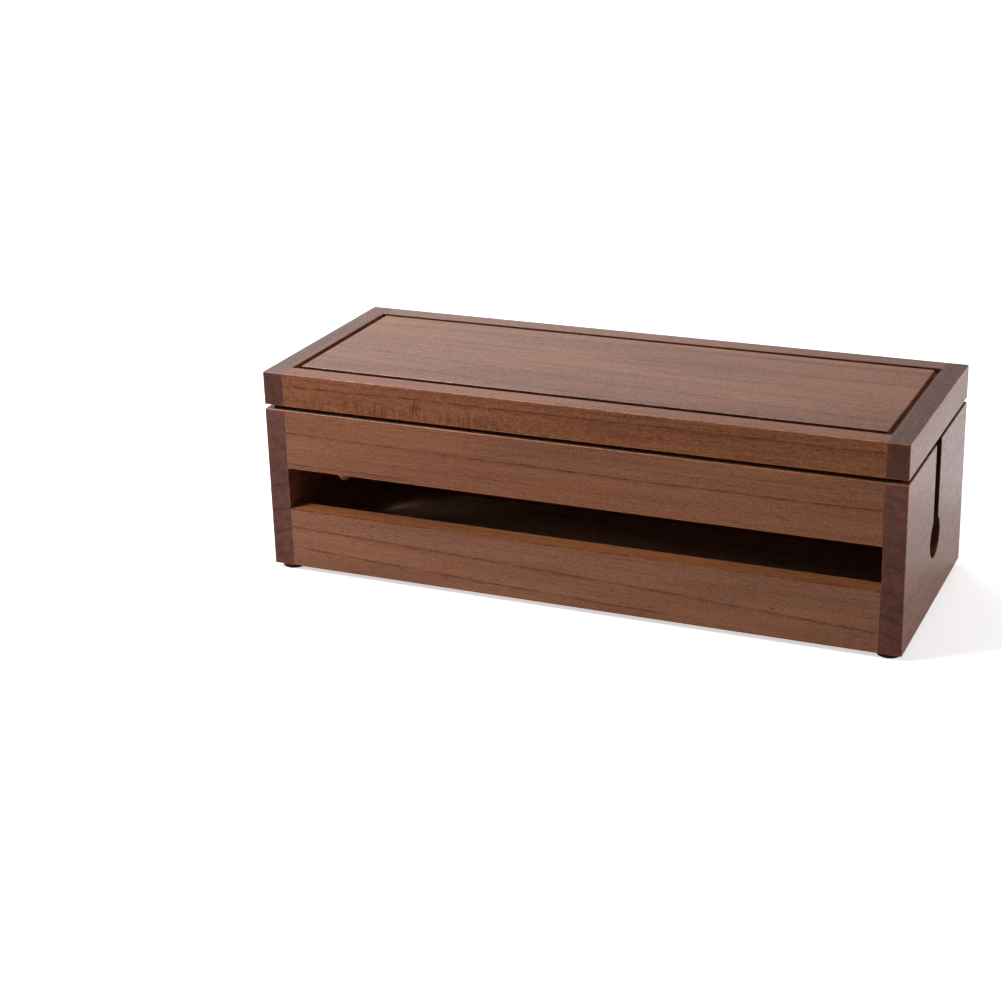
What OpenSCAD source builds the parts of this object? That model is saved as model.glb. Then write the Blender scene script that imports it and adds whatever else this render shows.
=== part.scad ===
// Cable management box: a wooden case for a power strip, with a framed lid that lifts off.
// X runs along the length, Y from front to back and Z up. The origin lies under the middle of the
// case, level with the undersides of the feet. Sizes are in millimetres.

/* [Case] */
// Length over the two end boards
case_l = 377; // [300:1:460]
// Depth from front to back
case_d = 143; // [120:1:200]
// Height of the walls from their underside to the shadow gap
wall_h = 97; // [90:1:150]
// Thickness of the end boards
end_t = 12.5; // [11:0.5:18]
// Thickness of the front rails and the back board
long_t = 12; // [11:0.5:18]
// Radius of the eased arrises
ease_r = 0.6; // [0.3:0.1:1.2]

/* [Front cable slot] */
// Height of the rail below the slot
lower_rail_h = 36; // [24:1:45]
// Clear height of the slot
slot_h = 25; // [10:1:30]

/* [Keyholes in the end boards] */
// Width of the straight slot
key_slot_w = 12.5; // [6:0.5:18]
// Diameter of the round hole
key_hole_d = 24; // [20:0.5:36]
// Height of the round hole's centre above the walls' underside
key_hole_z = 41; // [30:1:55]
// Chamfer round the keyhole's edges
key_chamfer = 0.6; // [0.3:0.1:1.5]

/* [Locating lip] */
// Distance from the outside of the walls to the lip
lip_inset = 4; // [3:0.5:6]
// Height of the lip above the walls' shoulder
lip_h = 6; // [5:0.5:8]
// Running gap between the lip and the lid's skirt
lip_fit = 0.3; // [0.2:0.1:0.8]

/* [Lid] */
// Height of the lid's frame rails
lid_h = 19.6; // [17:0.2:30]
// Open height between the walls and the lid
shadow_gap = 2.4; // [1:0.1:4]
// Width of the frame rails, seen from above
lid_rail_w = 12.5; // [11:0.5:20]
// Width of the groove that shows round the panel
reveal_w = 3.3; // [2:0.1:6]
// Depth of that groove
reveal_depth = 3; // [2:0.1:4]
// Thickness of the panel
panel_t = 7; // [6:0.1:8]
// Length of the panel's tongue inside the rails
tongue_l = 5; // [3:0.5:6]
// Play of the tongue in the rails' groove
tongue_fit = 0.2; // [0.1:0.05:0.5]

/* [Floor] */
// Thickness of the floor panel
floor_t = 3; // [2.5:0.1:5]
// Width of the rebate that holds it
floor_rebate_w = 6; // [6:0.5:8]
// Gap between the floor panel and its rebate
floor_fit = 0.2; // [0.1:0.05:0.5]

/* [Floor screws] */
// Screws along each long wall
long_screws = 4; // [2:1:8]
// Distance of the outermost of them from the case's ends
long_screw_margin = 40; // [34:1:60]
// Screws along each end board
end_screws = 2; // [2:1:4]
// Distance of the outermost of them from the case's front and back
end_screw_margin = 46; // [30:1:55]
// Length of a screw
screw_l = 12; // [8:0.5:16]
// Diameter of its shank
screw_d = 2.8; // [2:0.1:3.5]
// Diameter of its countersunk head
screw_head_d = 5.2; // [4.5:0.1:5.8]
// Height of the head
screw_head_h = 1.5; // [1:0.1:2]
// Radial gap round the shank in its hole
screw_fit = 0.05; // [0.02:0.01:0.1]

/* [Dowels] */
// Diameter of the dowels
dowel_d = 6; // [4:0.5:7]
// Length of the dowels
dowel_l = 25; // [20:1:30]
// Depth of a dowel inside an end board
dowel_in_end = 8; // [6:0.5:9]
// Distance of the outermost dowels from a board's edges
dowel_edge = 9; // [7:0.5:10]
// Dowels at each end of the back board
back_dowels = 4; // [2:1:5]
// Radial gap round a dowel
dowel_fit = 0.05; // [0.02:0.01:0.1]
// Space for glue past the end of a dowel
glue_space = 0.5; // [0.3:0.1:1]

/* [Feet] */
// Diameter of the feet
foot_d = 14; // [8:0.5:16]
// Height of the feet
foot_h = 3; // [2:0.5:6]
// Distance of a foot's centre from the end face
foot_from_end = 8.5; // [8:0.5:20]
// Distance of a foot's centre from the front or back face
foot_from_front = 8.5; // [8:0.5:20]
// Rounding of a foot's lower edge
foot_round = 0.8; // [0.3:0.1:1.5]

/* [Hidden] */

// Segments of a full circle
round_fn = 48;
// Cuts run past the faces that they open by this much
over = 1;

// Levels, from the ground up
base_z = foot_h;
floor_top_z = base_z + floor_t;
lower_rail_top_z = base_z + lower_rail_h;
slot_top_z = lower_rail_top_z + slot_h;
shoulder_z = base_z + wall_h;
lip_top_z = shoulder_z + lip_h;
lip_root_z = shoulder_z - 2 * ease_r;
lid_bottom_z = shoulder_z + shadow_gap;
lid_top_z = lid_bottom_z + lid_h;
panel_bottom_z = lid_top_z - panel_t;
tongue_top_z = lid_top_z - reveal_depth;
tongue_t = tongue_top_z - panel_bottom_z;

// Half sizes in plan
half_l = case_l / 2;
half_d = case_d / 2;
inner_x = half_l - end_t;
inner_y = half_d - long_t;
lid_inner_x = half_l - end_t;
lid_inner_y = half_d - lid_rail_w;
floor_pocket_x = inner_x + floor_rebate_w;
floor_pocket_y = inner_y + floor_rebate_w;
skirt_t = lip_inset - lip_fit;

// Places of the dowels and screws
dowel_r = dowel_d / 2;
dowel_tip = 0.5;
dowel_x = inner_x + dowel_in_end - dowel_l;
dowel_hole_in_rail = dowel_l - dowel_in_end + glue_space;
wall_dowel_y = half_d - long_t / 2;
lid_dowel_y = half_d - lid_rail_w / 2;
lid_dowel_z = (lip_top_z + panel_bottom_z) / 2;
lower_dowel_zs = [base_z + dowel_edge, lower_rail_top_z - dowel_edge];
upper_dowel_zs = [slot_top_z + dowel_edge, shoulder_z - dowel_edge];
back_dowel_zs = spread(base_z + dowel_edge, shoulder_z - dowel_edge, back_dowels);
long_screw_xs = spread(long_screw_margin - half_l, half_l - long_screw_margin, long_screws);
end_screw_ys = spread(end_screw_margin - half_d, half_d - end_screw_margin, end_screws);
long_screw_y = floor_pocket_y - floor_rebate_w / 2;
end_screw_x = floor_pocket_x - floor_rebate_w / 2;
screw_sink = 0.1;
screw_tip_h = 2;
screw_tip_d = 0.7;
screw_hole_d = screw_d + 2 * screw_fit;
recess_l = 3;
recess_w = 0.7;
recess_depth = 1;

// Evenly spaced values from first to last
function spread(first, last, count) = [for (i = [0 : count - 1]) first + (last - first) * i / (count - 1)];

module eased_rect(lo, hi) {
    difference() {
        translate(lo) square(hi - lo);
        for (x = [0, 1]) {
            for (y = [0, 1]) {
                corner = [x == 0 ? lo.x : hi.x, y == 0 ? lo.y : hi.y];
                translate(corner) mirror([x, 0]) mirror([0, y]) arris_waste();
            }
        }
    }
}

// What is left between a square corner and its rounding
module arris_waste() {
    difference() {
        translate([-over, -over]) square(ease_r + over);
        translate([ease_r, ease_r]) circle(ease_r, $fn = round_fn);
        translate([ease_r, -2 * over]) square(2 * over + ease_r);
        translate([-2 * over, ease_r]) square(2 * over + ease_r);
    }
}

module block(lo, hi) {
    translate(lo) cube(hi - lo);
}

// Blocks between two corners, with the four arrises along one axis eased
module eased_along_x(lo, hi) {
    translate([lo.x, 0, 0]) rotate([90, 0, 90]) linear_extrude(hi.x - lo.x)
        eased_rect([lo.y, lo.z], [hi.y, hi.z]);
}

module eased_along_y(lo, hi) {
    translate([0, hi.y, 0]) rotate([90, 0, 0]) linear_extrude(hi.y - lo.y)
        eased_rect([lo.x, lo.z], [hi.x, hi.z]);
}

module eased_along_z(lo, hi) {
    translate([0, 0, lo.z]) linear_extrude(hi.z - lo.z) eased_rect([lo.x, lo.y], [hi.x, hi.y]);
}

// A block with all twelve arrises eased
module eased_block(lo, hi) {
    intersection() {
        eased_along_x(lo, hi);
        eased_along_y(lo, hi);
        eased_along_z(lo, hi);
    }
}

// The space under the case that the floor panel lies in
module floor_pocket() {
    block(
        [-floor_pocket_x, -floor_pocket_y, base_z - over],
        [floor_pocket_x, floor_pocket_y, floor_top_z]
    );
}

// Places every child at each floor screw
module at_floor_screws() {
    for (side = [-1, 1]) {
        for (x = long_screw_xs) {
            translate([x, side * long_screw_y, base_z]) children();
        }
        for (y = end_screw_ys) {
            translate([side * end_screw_x, y, base_z]) children();
        }
    }
}

module floor_screw_hole() {
    translate([0, 0, screw_sink]) cylinder(h = screw_l + glue_space, d = screw_hole_d, $fn = round_fn);
}

// Blind holes across the joints between the end boards and what butts against them
module dowel_holes(y, zs) {
    hole_l = dowel_hole_in_rail + dowel_in_end + glue_space;
    for (side = [0, 1]) {
        mirror([side, 0, 0]) {
            for (z = zs) {
                translate([inner_x - dowel_hole_in_rail, y, z]) rotate([0, 90, 0])
                    cylinder(h = hole_l, r = dowel_r + dowel_fit, $fn = round_fn);
            }
        }
    }
}

module wall_dowel_holes() {
    dowel_holes(-wall_dowel_y, lower_dowel_zs);
    dowel_holes(-wall_dowel_y, upper_dowel_zs);
    dowel_holes(wall_dowel_y, back_dowel_zs);
}

module lid_dowel_holes() {
    dowel_holes(-lid_dowel_y, [lid_dowel_z]);
    dowel_holes(lid_dowel_y, [lid_dowel_z]);
}

// A round hole with a slot that runs up from it and out at the top, chamfered on both faces
module keyhole() {
    hole_z = base_z + key_hole_z;
    hole_r = key_hole_d / 2;
    slot_r = key_slot_w / 2;
    translate([inner_x, 0, hole_z]) rotate([0, 90, 0]) {
        translate([0, 0, -over]) cylinder(h = end_t + 2 * over, r = hole_r, $fn = round_fn);
        cylinder(h = key_chamfer, r1 = hole_r + key_chamfer, r2 = hole_r, $fn = round_fn);
        translate([0, 0, end_t - key_chamfer])
            cylinder(h = key_chamfer, r1 = hole_r, r2 = hole_r + key_chamfer, $fn = round_fn);
    }
    translate([0, 0, hole_z]) linear_extrude(lip_top_z + over - hole_z) polygon([
        [inner_x - over, -slot_r - key_chamfer],
        [inner_x, -slot_r - key_chamfer],
        [inner_x + key_chamfer, -slot_r],
        [half_l - key_chamfer, -slot_r],
        [half_l, -slot_r - key_chamfer],
        [half_l + over, -slot_r - key_chamfer],
        [half_l + over, slot_r + key_chamfer],
        [half_l, slot_r + key_chamfer],
        [half_l - key_chamfer, slot_r],
        [inner_x + key_chamfer, slot_r],
        [inner_x, slot_r + key_chamfer],
        [inner_x - over, slot_r + key_chamfer]
    ]);
}

module end_board() {
    difference() {
        union() {
            eased_block([inner_x, -half_d, base_z], [half_l, half_d, shoulder_z]);
            eased_block(
                [inner_x, lip_inset - half_d, lip_root_z],
                [half_l - lip_inset, half_d - lip_inset, lip_top_z]
            );
        }
        keyhole();
        floor_pocket();
        wall_dowel_holes();
        at_floor_screws() floor_screw_hole();
    }
}

module right_end_board() {
    color("#6a4c42") end_board();
}

module left_end_board() {
    color("#6a4c42") mirror([1, 0, 0]) end_board();
}

// The part of the lip that stands on a wall between the end boards
module long_lip(side) {
    outer_y = side * (half_d - lip_inset);
    eased_along_x(
        [-inner_x, min(outer_y, side * inner_y), lip_root_z],
        [inner_x, max(outer_y, side * inner_y), lip_top_z]
    );
}

module front_lower_rail() {
    color("#80553f") difference() {
        eased_along_x([-inner_x, -half_d, base_z], [inner_x, -inner_y, lower_rail_top_z]);
        floor_pocket();
        wall_dowel_holes();
        at_floor_screws() floor_screw_hole();
    }
}

module front_upper_rail() {
    color("#80553f") difference() {
        union() {
            eased_along_x([-inner_x, -half_d, slot_top_z], [inner_x, -inner_y, shoulder_z]);
            long_lip(-1);
        }
        wall_dowel_holes();
    }
}

module back_board() {
    color("#7c523d") difference() {
        union() {
            eased_along_x([-inner_x, inner_y, base_z], [inner_x, half_d, shoulder_z]);
            long_lip(1);
        }
        floor_pocket();
        wall_dowel_holes();
        at_floor_screws() floor_screw_hole();
    }
}

module floor_panel() {
    color("#8a6244") difference() {
        block(
            [floor_fit - floor_pocket_x, floor_fit - floor_pocket_y, base_z],
            [floor_pocket_x - floor_fit, floor_pocket_y - floor_fit, floor_top_z]
        );
        at_floor_screws() {
            translate([0, 0, -over]) cylinder(h = floor_t + 2 * over, d = screw_hole_d, $fn = round_fn);
            countersink();
        }
    }
}

// The conical seat of a screw head, open at the floor's underside
module countersink() {
    slope = (screw_head_d - screw_d) / 2 / screw_head_h;
    wide_r = screw_head_d / 2 + screw_fit;
    mouth_r = wide_r + slope * (screw_sink + over);
    cone_h = screw_head_h + screw_sink + over;
    translate([0, 0, -over]) cylinder(h = cone_h, r1 = mouth_r, r2 = screw_hole_d / 2, $fn = round_fn);
}

module wood_screw() {
    shank_l = screw_l - screw_head_h - screw_tip_h;
    translate([0, 0, screw_sink]) difference() {
        union() {
            cylinder(h = screw_head_h, d1 = screw_head_d, d2 = screw_d, $fn = round_fn);
            translate([0, 0, screw_head_h]) cylinder(h = shank_l, d = screw_d, $fn = round_fn);
            translate([0, 0, screw_head_h + shank_l])
                cylinder(h = screw_tip_h, d1 = screw_d, d2 = screw_tip_d, $fn = round_fn);
        }
        for (turn = [0, 90]) {
            rotate([0, 0, turn]) translate([0, 0, recess_depth / 2 - over / 2])
                cube([recess_l, recess_w, recess_depth + over], center = true);
        }
    }
}

module floor_screws() {
    color("#b9b4aa") at_floor_screws() wood_screw();
}

// A dowel with chamfered ends, lying along X from the origin
module dowel() {
    rotate([0, 90, 0]) {
        cylinder(h = dowel_tip, r1 = dowel_r - dowel_tip, r2 = dowel_r, $fn = round_fn);
        translate([0, 0, dowel_tip]) cylinder(h = dowel_l - 2 * dowel_tip, r = dowel_r, $fn = round_fn);
        translate([0, 0, dowel_l - dowel_tip])
            cylinder(h = dowel_tip, r1 = dowel_r, r2 = dowel_r - dowel_tip, $fn = round_fn);
    }
}

module dowel_row(y, zs) {
    for (side = [0, 1]) {
        mirror([side, 0, 0]) {
            for (z = zs) {
                translate([dowel_x, y, z]) dowel();
            }
        }
    }
}

module box_dowels() {
    color("#d2b48a") {
        dowel_row(-wall_dowel_y, lower_dowel_zs);
        dowel_row(-wall_dowel_y, upper_dowel_zs);
        dowel_row(wall_dowel_y, back_dowel_zs);
    }
}

module lid_dowels() {
    color("#d2b48a") {
        dowel_row(-lid_dowel_y, [lid_dowel_z]);
        dowel_row(lid_dowel_y, [lid_dowel_z]);
    }
}

// A rubber foot with a rounded lower edge; side_x and side_y choose the corner
module foot(side_x, side_y) {
    foot_r = foot_d / 2;
    centre = [side_x * (half_l - foot_from_end), side_y * (half_d - foot_from_front), 0];
    color("#1c1b1b") translate(centre) {
        rotate_extrude($fn = round_fn) {
            translate([0, foot_round]) square([foot_r, foot_h - foot_round]);
            square([foot_r - foot_round, foot_h]);
            intersection() {
                translate([foot_r - foot_round, foot_round]) circle(foot_round, $fn = round_fn);
                square([foot_r, foot_h]);
            }
        }
    }
}

module foot_front_left() {
    foot(-1, -1);
}

module foot_front_right() {
    foot(1, -1);
}

module foot_back_left() {
    foot(-1, 1);
}

module foot_back_right() {
    foot(1, 1);
}

// The hollow under the lid's rails that drops over the lip
module skirt_pocket() {
    block(
        [skirt_t - half_l, skirt_t - half_d, lid_bottom_z - over],
        [half_l - skirt_t, half_d - skirt_t, lip_top_z]
    );
}

// The groove inside the rails that holds the panel's tongue
module tongue_groove() {
    reach = tongue_l + tongue_fit;
    block(
        [-lid_inner_x - reach, -lid_inner_y - reach, panel_bottom_z],
        [lid_inner_x + reach, lid_inner_y + reach, tongue_top_z + tongue_fit]
    );
}

module lid_end_rail() {
    difference() {
        eased_block([lid_inner_x, -half_d, lid_bottom_z], [half_l, half_d, lid_top_z]);
        skirt_pocket();
        tongue_groove();
        lid_dowel_holes();
    }
}

module lid_right_rail() {
    color("#64463f") lid_end_rail();
}

module lid_left_rail() {
    color("#64463f") mirror([1, 0, 0]) lid_end_rail();
}

module lid_long_rail() {
    difference() {
        eased_along_x([-lid_inner_x, lid_inner_y, lid_bottom_z], [lid_inner_x, half_d, lid_top_z]);
        skirt_pocket();
        tongue_groove();
        lid_dowel_holes();
    }
}

module lid_back_rail() {
    color("#7c523d") lid_long_rail();
}

module lid_front_rail() {
    color("#80553f") mirror([0, 1, 0]) lid_long_rail();
}

module lid_panel() {
    field_x = lid_inner_x - reveal_w;
    field_y = lid_inner_y - reveal_w;
    color("#94705c") {
        block(
            [-lid_inner_x - tongue_l, -lid_inner_y - tongue_l, panel_bottom_z],
            [lid_inner_x + tongue_l, lid_inner_y + tongue_l, panel_bottom_z + tongue_t]
        );
        intersection() {
            eased_block([-field_x, -field_y, panel_bottom_z - over], [field_x, field_y, lid_top_z]);
            block([-half_l, -half_d, panel_bottom_z + tongue_t / 2], [half_l, half_d, lid_top_z + over]);
        }
    }
}

left_end_board();
right_end_board();
front_lower_rail();
front_upper_rail();
back_board();
floor_panel();
floor_screws();
box_dowels();
foot_front_left();
foot_front_right();
foot_back_left();
foot_back_right();
lid_left_rail();
lid_right_rail();
lid_front_rail();
lid_back_rail();
lid_panel();
lid_dowels();
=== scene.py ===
"""Cable management box: a walnut-stained case on rubber feet, with a framed lid that lifts off."""

import logging
import math
from collections.abc import Callable, Iterator
from contextlib import contextmanager
from dataclasses import dataclass, field
from enum import Enum

import bmesh
import bpy
from mathutils import Matrix, Vector

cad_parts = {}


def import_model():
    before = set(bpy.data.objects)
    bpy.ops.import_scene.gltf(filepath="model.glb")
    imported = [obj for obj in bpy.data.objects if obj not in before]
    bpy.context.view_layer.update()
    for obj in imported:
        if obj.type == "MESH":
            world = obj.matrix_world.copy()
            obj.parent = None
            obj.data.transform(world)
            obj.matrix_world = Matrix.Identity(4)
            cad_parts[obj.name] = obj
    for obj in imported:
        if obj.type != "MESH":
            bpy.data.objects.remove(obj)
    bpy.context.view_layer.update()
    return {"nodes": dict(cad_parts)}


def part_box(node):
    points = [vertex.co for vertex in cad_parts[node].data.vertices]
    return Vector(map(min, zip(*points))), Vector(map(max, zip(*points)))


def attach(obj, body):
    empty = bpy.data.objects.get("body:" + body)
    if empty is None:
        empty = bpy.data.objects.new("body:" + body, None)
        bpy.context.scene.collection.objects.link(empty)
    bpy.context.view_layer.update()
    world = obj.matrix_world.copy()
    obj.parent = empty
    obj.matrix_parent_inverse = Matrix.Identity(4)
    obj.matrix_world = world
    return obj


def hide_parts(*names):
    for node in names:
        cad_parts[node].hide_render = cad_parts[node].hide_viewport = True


LOG = logging.getLogger("cable_box")
MM = 0.001
# What counts as close to a level, and how far a tool reaches past the wood that it cuts.
NEAR = 1 * MM
OVERSHOOT = 1 * MM
# How much of its normal a face that looks along an axis has along it, and the most that one beside it has.
SQUARE_ON = 0.9
EDGE_ON = 0.3
X, Y, Z = Vector((1, 0, 0)), Vector((0, 1, 0)), Vector((0, 0, 1))
WHITE = (1.0, 1.0, 1.0)
Socket = bpy.types.NodeSocket
Piece = bpy.types.Object
Triple = tuple[float, float, float]
Test = Callable[[Vector, Vector], bool]
Weigh = Callable[[Vector, Vector], float]


# ---------------------------------------------------------------- shader graphs


class Kind(Enum):
    """The kinds of socket that an effect has."""

    NUMBER = "NodeSocketFloat"
    VECTOR = "NodeSocketVector"
    COLOUR = "NodeSocketColor"


def ports(names: str, kind: Kind = Kind.NUMBER) -> dict[str, Kind]:
    """Lists sockets of one kind, from their names with commas between them."""
    return dict.fromkeys(names.split(", "), kind)


class Graph:
    """Adds shader nodes to a tree and joins them."""

    def __init__(self, tree: bpy.types.NodeTree) -> None:
        """Takes the tree to build in."""
        self.tree = tree

    @classmethod
    def blank(cls, owner: bpy.types.Material | bpy.types.World) -> "Graph":
        """Clears the nodes of a material or a world, and returns its graph."""
        owner.use_nodes = True
        owner.node_tree.nodes.clear()
        return cls(owner.node_tree)

    def node(self, kind: str, settings: dict | None = None, inputs: dict | None = None) -> bpy.types.Node:
        """Adds a node.

        Args:
            kind: Blender's name of the node type, without its "ShaderNode".
            settings: properties to set on the node.
            inputs: a value or another node's socket for each named or numbered input.

        Returns:
            The new node.
        """
        made = self.tree.nodes.new("ShaderNode" + kind)
        made.location = (len(self.tree.nodes) * 60.0, 0.0)
        for name, value in (settings or {}).items():
            setattr(made, name, value)
        for name, value in (inputs or {}).items():
            self.put(made.inputs[name], value)
        return made

    def put(self, socket: Socket, value: object) -> None:
        """Joins a socket to another one, or sets its constant; a colour leaves out its opacity."""
        if isinstance(value, Socket):
            self.tree.links.new(value, socket)
        else:
            socket.default_value = (*value, 1.0) if socket.type == "RGBA" else value

    def math(self, operation: str, *values: object, clamp: bool = False) -> Socket:
        """Adds a Math node with its inputs in order, and returns its result, which clamp keeps in 0 to 1."""
        settings = {"operation": operation, "use_clamp": clamp}
        return self.node("Math", settings, dict(enumerate(values))).outputs[0]

    def times(self, *factors: object) -> Socket:
        """Multiplies numbers and returns their product."""
        product = factors[0]
        for factor in factors[1:]:
            product = self.math("MULTIPLY", product, factor)
        return product

    def total(self, *terms: tuple[object, object]) -> Socket:
        """Adds up pairs of a number and its factor, and returns the sum."""
        value: object = 0.0
        for number, factor in terms:
            value = self.math("MULTIPLY_ADD", number, factor, value)
        return value

    def centred(self, number: Socket) -> Socket:
        """Takes 0.5 off a number, so that a noise swings about 0, and returns the rest."""
        return self.math("SUBTRACT", number, 0.5)

    def vector(self, operation: str, *vectors: object) -> Socket:
        """Adds a Vector Math node and returns its result, which is a number for a length or a dot product."""
        made = self.node("VectorMath", {"operation": operation}, dict(enumerate(vectors)))
        return made.outputs[1 if operation in ("LENGTH", "DOT_PRODUCT") else 0]

    def parts(self, vector: Socket) -> tuple[Socket, Socket, Socket]:
        """Splits a vector into its three numbers."""
        split = self.node("SeparateXYZ", inputs={0: vector})
        return split.outputs[0], split.outputs[1], split.outputs[2]

    def coordinate(self, name: str) -> Socket:
        """Returns one of the surface's texture coordinates."""
        return self.node("TexCoord").outputs[name]

    def step(self, value: object, low: object, high: object, start: float = 0.0, stop: float = 1.0) -> Socket:
        """Maps the range from low to high smoothly onto that from start to stop, and returns the result."""
        inputs = {"Value": value, "From Min": low, "From Max": high, "To Min": start, "To Max": stop}
        return self.node("MapRange", {"interpolation_type": "SMOOTHSTEP"}, inputs).outputs[0]

    def blend(self, share: object, first: object, second: object, way: str = "MIX") -> Socket:
        """Mixes two colours by a blend type and the second one's share, and returns the mix."""
        settings = {"data_type": "RGBA", "blend_type": way, "clamp_factor": True}
        return self.node("Mix", settings, {0: share, 6: first, 7: second}).outputs[2]

    def shaded(self, share: object, colour: object, tint: object) -> Socket:
        """Multiplies a colour by a tint as far as a share says, and returns it."""
        return self.blend(share, colour, self.blend(1.0, colour, tint, "MULTIPLY"))

    def noise(self, point: Socket, scale: float | Triple, detail: float = 2.0, rough: float = 0.5) -> Socket:
        """Adds a noise.

        Args:
            point: the place, in metres.
            scale: waves per metre, the same each way or one for each axis.
            detail: the noise's octaves.
            rough: how strong the finer octaves are.

        Returns:
            The noise's socket, about 0.5 on average.
        """
        waves = (scale, scale, scale) if isinstance(scale, float) else scale
        inputs = {"Vector": self.vector("MULTIPLY", point, waves), "Scale": 1.0, "Detail": detail}
        return self.node("TexNoise", {"noise_dimensions": "3D"}, {**inputs, "Roughness": rough}).outputs[0]

    def bump(self, strength: float, distance: float, height: Socket) -> Socket:
        """Adds a Bump node and returns its normal."""
        inputs = {"Strength": strength, "Distance": distance, "Height": height}
        return self.node("Bump", inputs=inputs).outputs[0]

    def effect(self, effect: "type[Effect]", *sources: bpy.types.Node, **values: object) -> bpy.types.Node:
        """Places an effect.

        Args:
            effect: the effect's class.
            sources: effects whose outputs feed this one's inputs of the same name.
            values: the other inputs by name, with _ for a space.

        Returns:
            The group node.
        """
        made = self.node("Group", {"node_tree": effect.tree()})
        for output in (output for source in sources for output in source.outputs):
            if output.name in made.inputs:
                self.put(made.inputs[output.name], output)
        for name, value in values.items():
            self.put(made.inputs[name.replace("_", " ")], value)
        return made


class Effect:
    """A shader node group that is built once and placed in each material that asks for it."""

    title: str = ""
    takes: dict[str, Kind] = {}
    gives: dict[str, Kind] = {}

    @classmethod
    def tree(cls) -> bpy.types.NodeTree:
        """Returns the group, which is built on the first call."""
        found = bpy.data.node_groups.get(cls.title)
        if found:
            return found
        tree = bpy.data.node_groups.new(cls.title, "ShaderNodeTree")
        for way, sockets in (("INPUT", cls.takes), ("OUTPUT", cls.gives)):
            for name, kind in sockets.items():
                tree.interface.new_socket(name, in_out=way, socket_type=kind.value)
        graph = Graph(tree)
        inside = tree.nodes.new("NodeGroupInput")
        outside = tree.nodes.new("NodeGroupOutput")
        for name, value in cls.draw(graph, {name: inside.outputs[name] for name in cls.takes}).items():
            graph.put(outside.inputs[name], value)
        return tree

    @classmethod
    def draw(cls, graph: Graph, given: dict[str, Socket]) -> dict[str, Socket]:
        """Draws the group's own nodes.

        Args:
            graph: the group's graph.
            given: the group's inputs by name.

        Returns:
            What each of the group's outputs gets.
        """
        raise NotImplementedError


class TimberFigure(Effect):
    """Growth rings round a pith, fibres, pores, slow drifts of tone and a steady painted shade, in a board's
    own directions.
    """

    title = "timber figure"
    takes = ports("Point, Shift", Kind.VECTOR) | ports(
        "Pith Across, Pith Depth, Spacing, Bend, Slope, Wave, Fall, Fall Across"
    )
    gives = ports("Ring, Fibre, Streak, Pores, Drift, Fleck, Wave, Height")

    @classmethod
    def draw(cls, graph: Graph, given: dict[str, Socket]) -> dict[str, Socket]:
        """Draws the rings, fibres, streaks, pores, drift, flecks and wave."""
        place = graph.vector("ADD", given["Point"], given["Shift"])
        along, across, depth = graph.parts(given["Point"])
        wander = graph.centred(graph.noise(place, (2.4, 10.0, 10.0)))
        ripple = graph.centred(graph.noise(place, (13.0, 30.0, 30.0)))
        moved = graph.total(
            (across, 1.0),
            (wander, given["Bend"]),
            (graph.times(ripple, given["Bend"]), 0.16),
            (along, given["Slope"]),
            (given["Pith Across"], -1.0),
        )
        deep = graph.math("SUBTRACT", depth, given["Pith Depth"])
        distance = graph.math("SQRT", graph.total((moved, moved), (deep, deep)))
        count = graph.math("DIVIDE", distance, given["Spacing"])
        single = {"noise_dimensions": "1D"}
        uneven = graph.node("TexNoise", single, {"W": count, "Scale": 0.55, "Detail": 1.0}).outputs[0]
        count = graph.math("MULTIPLY_ADD", uneven, 1.3, count)
        phase = graph.math("FRACT", count)
        chance = graph.node("TexWhiteNoise", single, {"W": graph.math("FLOOR", count)}).outputs[0]
        late = graph.times(graph.step(phase, 0.45, 0.96), graph.step(phase, 0.965, 1.0, 1.0, 0.0))
        ring = graph.times(late, graph.math("MULTIPLY_ADD", graph.math("POWER", chance, 2.0), 0.8, 0.2))
        fibre = graph.total(
            (graph.noise(place, (12.0, 880.0, 880.0), 1.5), 0.22),
            (graph.noise(place, (170.0, 1250.0, 1250.0), 1.0), 0.19),
            (graph.noise(place, (800.0, 1350.0, 1350.0), 1.0), 0.59),
        )
        fibre = graph.step(fibre, 0.38, 0.62)
        pores = graph.step(graph.noise(place, (150.0, 1500.0, 1500.0), 1.0), 0.6, 0.72)
        pores = graph.times(pores, graph.math("MULTIPLY_ADD", phase, -0.5, 1.0))
        drift = graph.step(graph.noise(place, (7.0, 26.0, 26.0)), 0.3, 0.7)
        swing = graph.centred(graph.noise(place, (11.0, 9.0, 9.0), 1.0))
        return {
            "Ring": ring,
            "Fibre": fibre,
            "Streak": graph.step(graph.noise(place, (7.0, 120.0, 120.0), 3.0, 0.6), 0.3, 0.7),
            "Pores": pores,
            # The drift also carries painted shade: a steady darkening along and across the board, standing in
            # for light that dies away.
            "Drift": graph.total((drift, 1.0), (along, given["Fall"]), (across, given["Fall Across"])),
            "Fleck": graph.step(graph.noise(place, (300.0, 260.0, 260.0), 4.0, 0.65), 0.36, 0.64),
            "Wave": graph.times(swing, 4.0, given["Wave"]),
            "Height": graph.total((fibre, 0.35), (pores, -0.8), (ring, -0.25)),
        }


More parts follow.
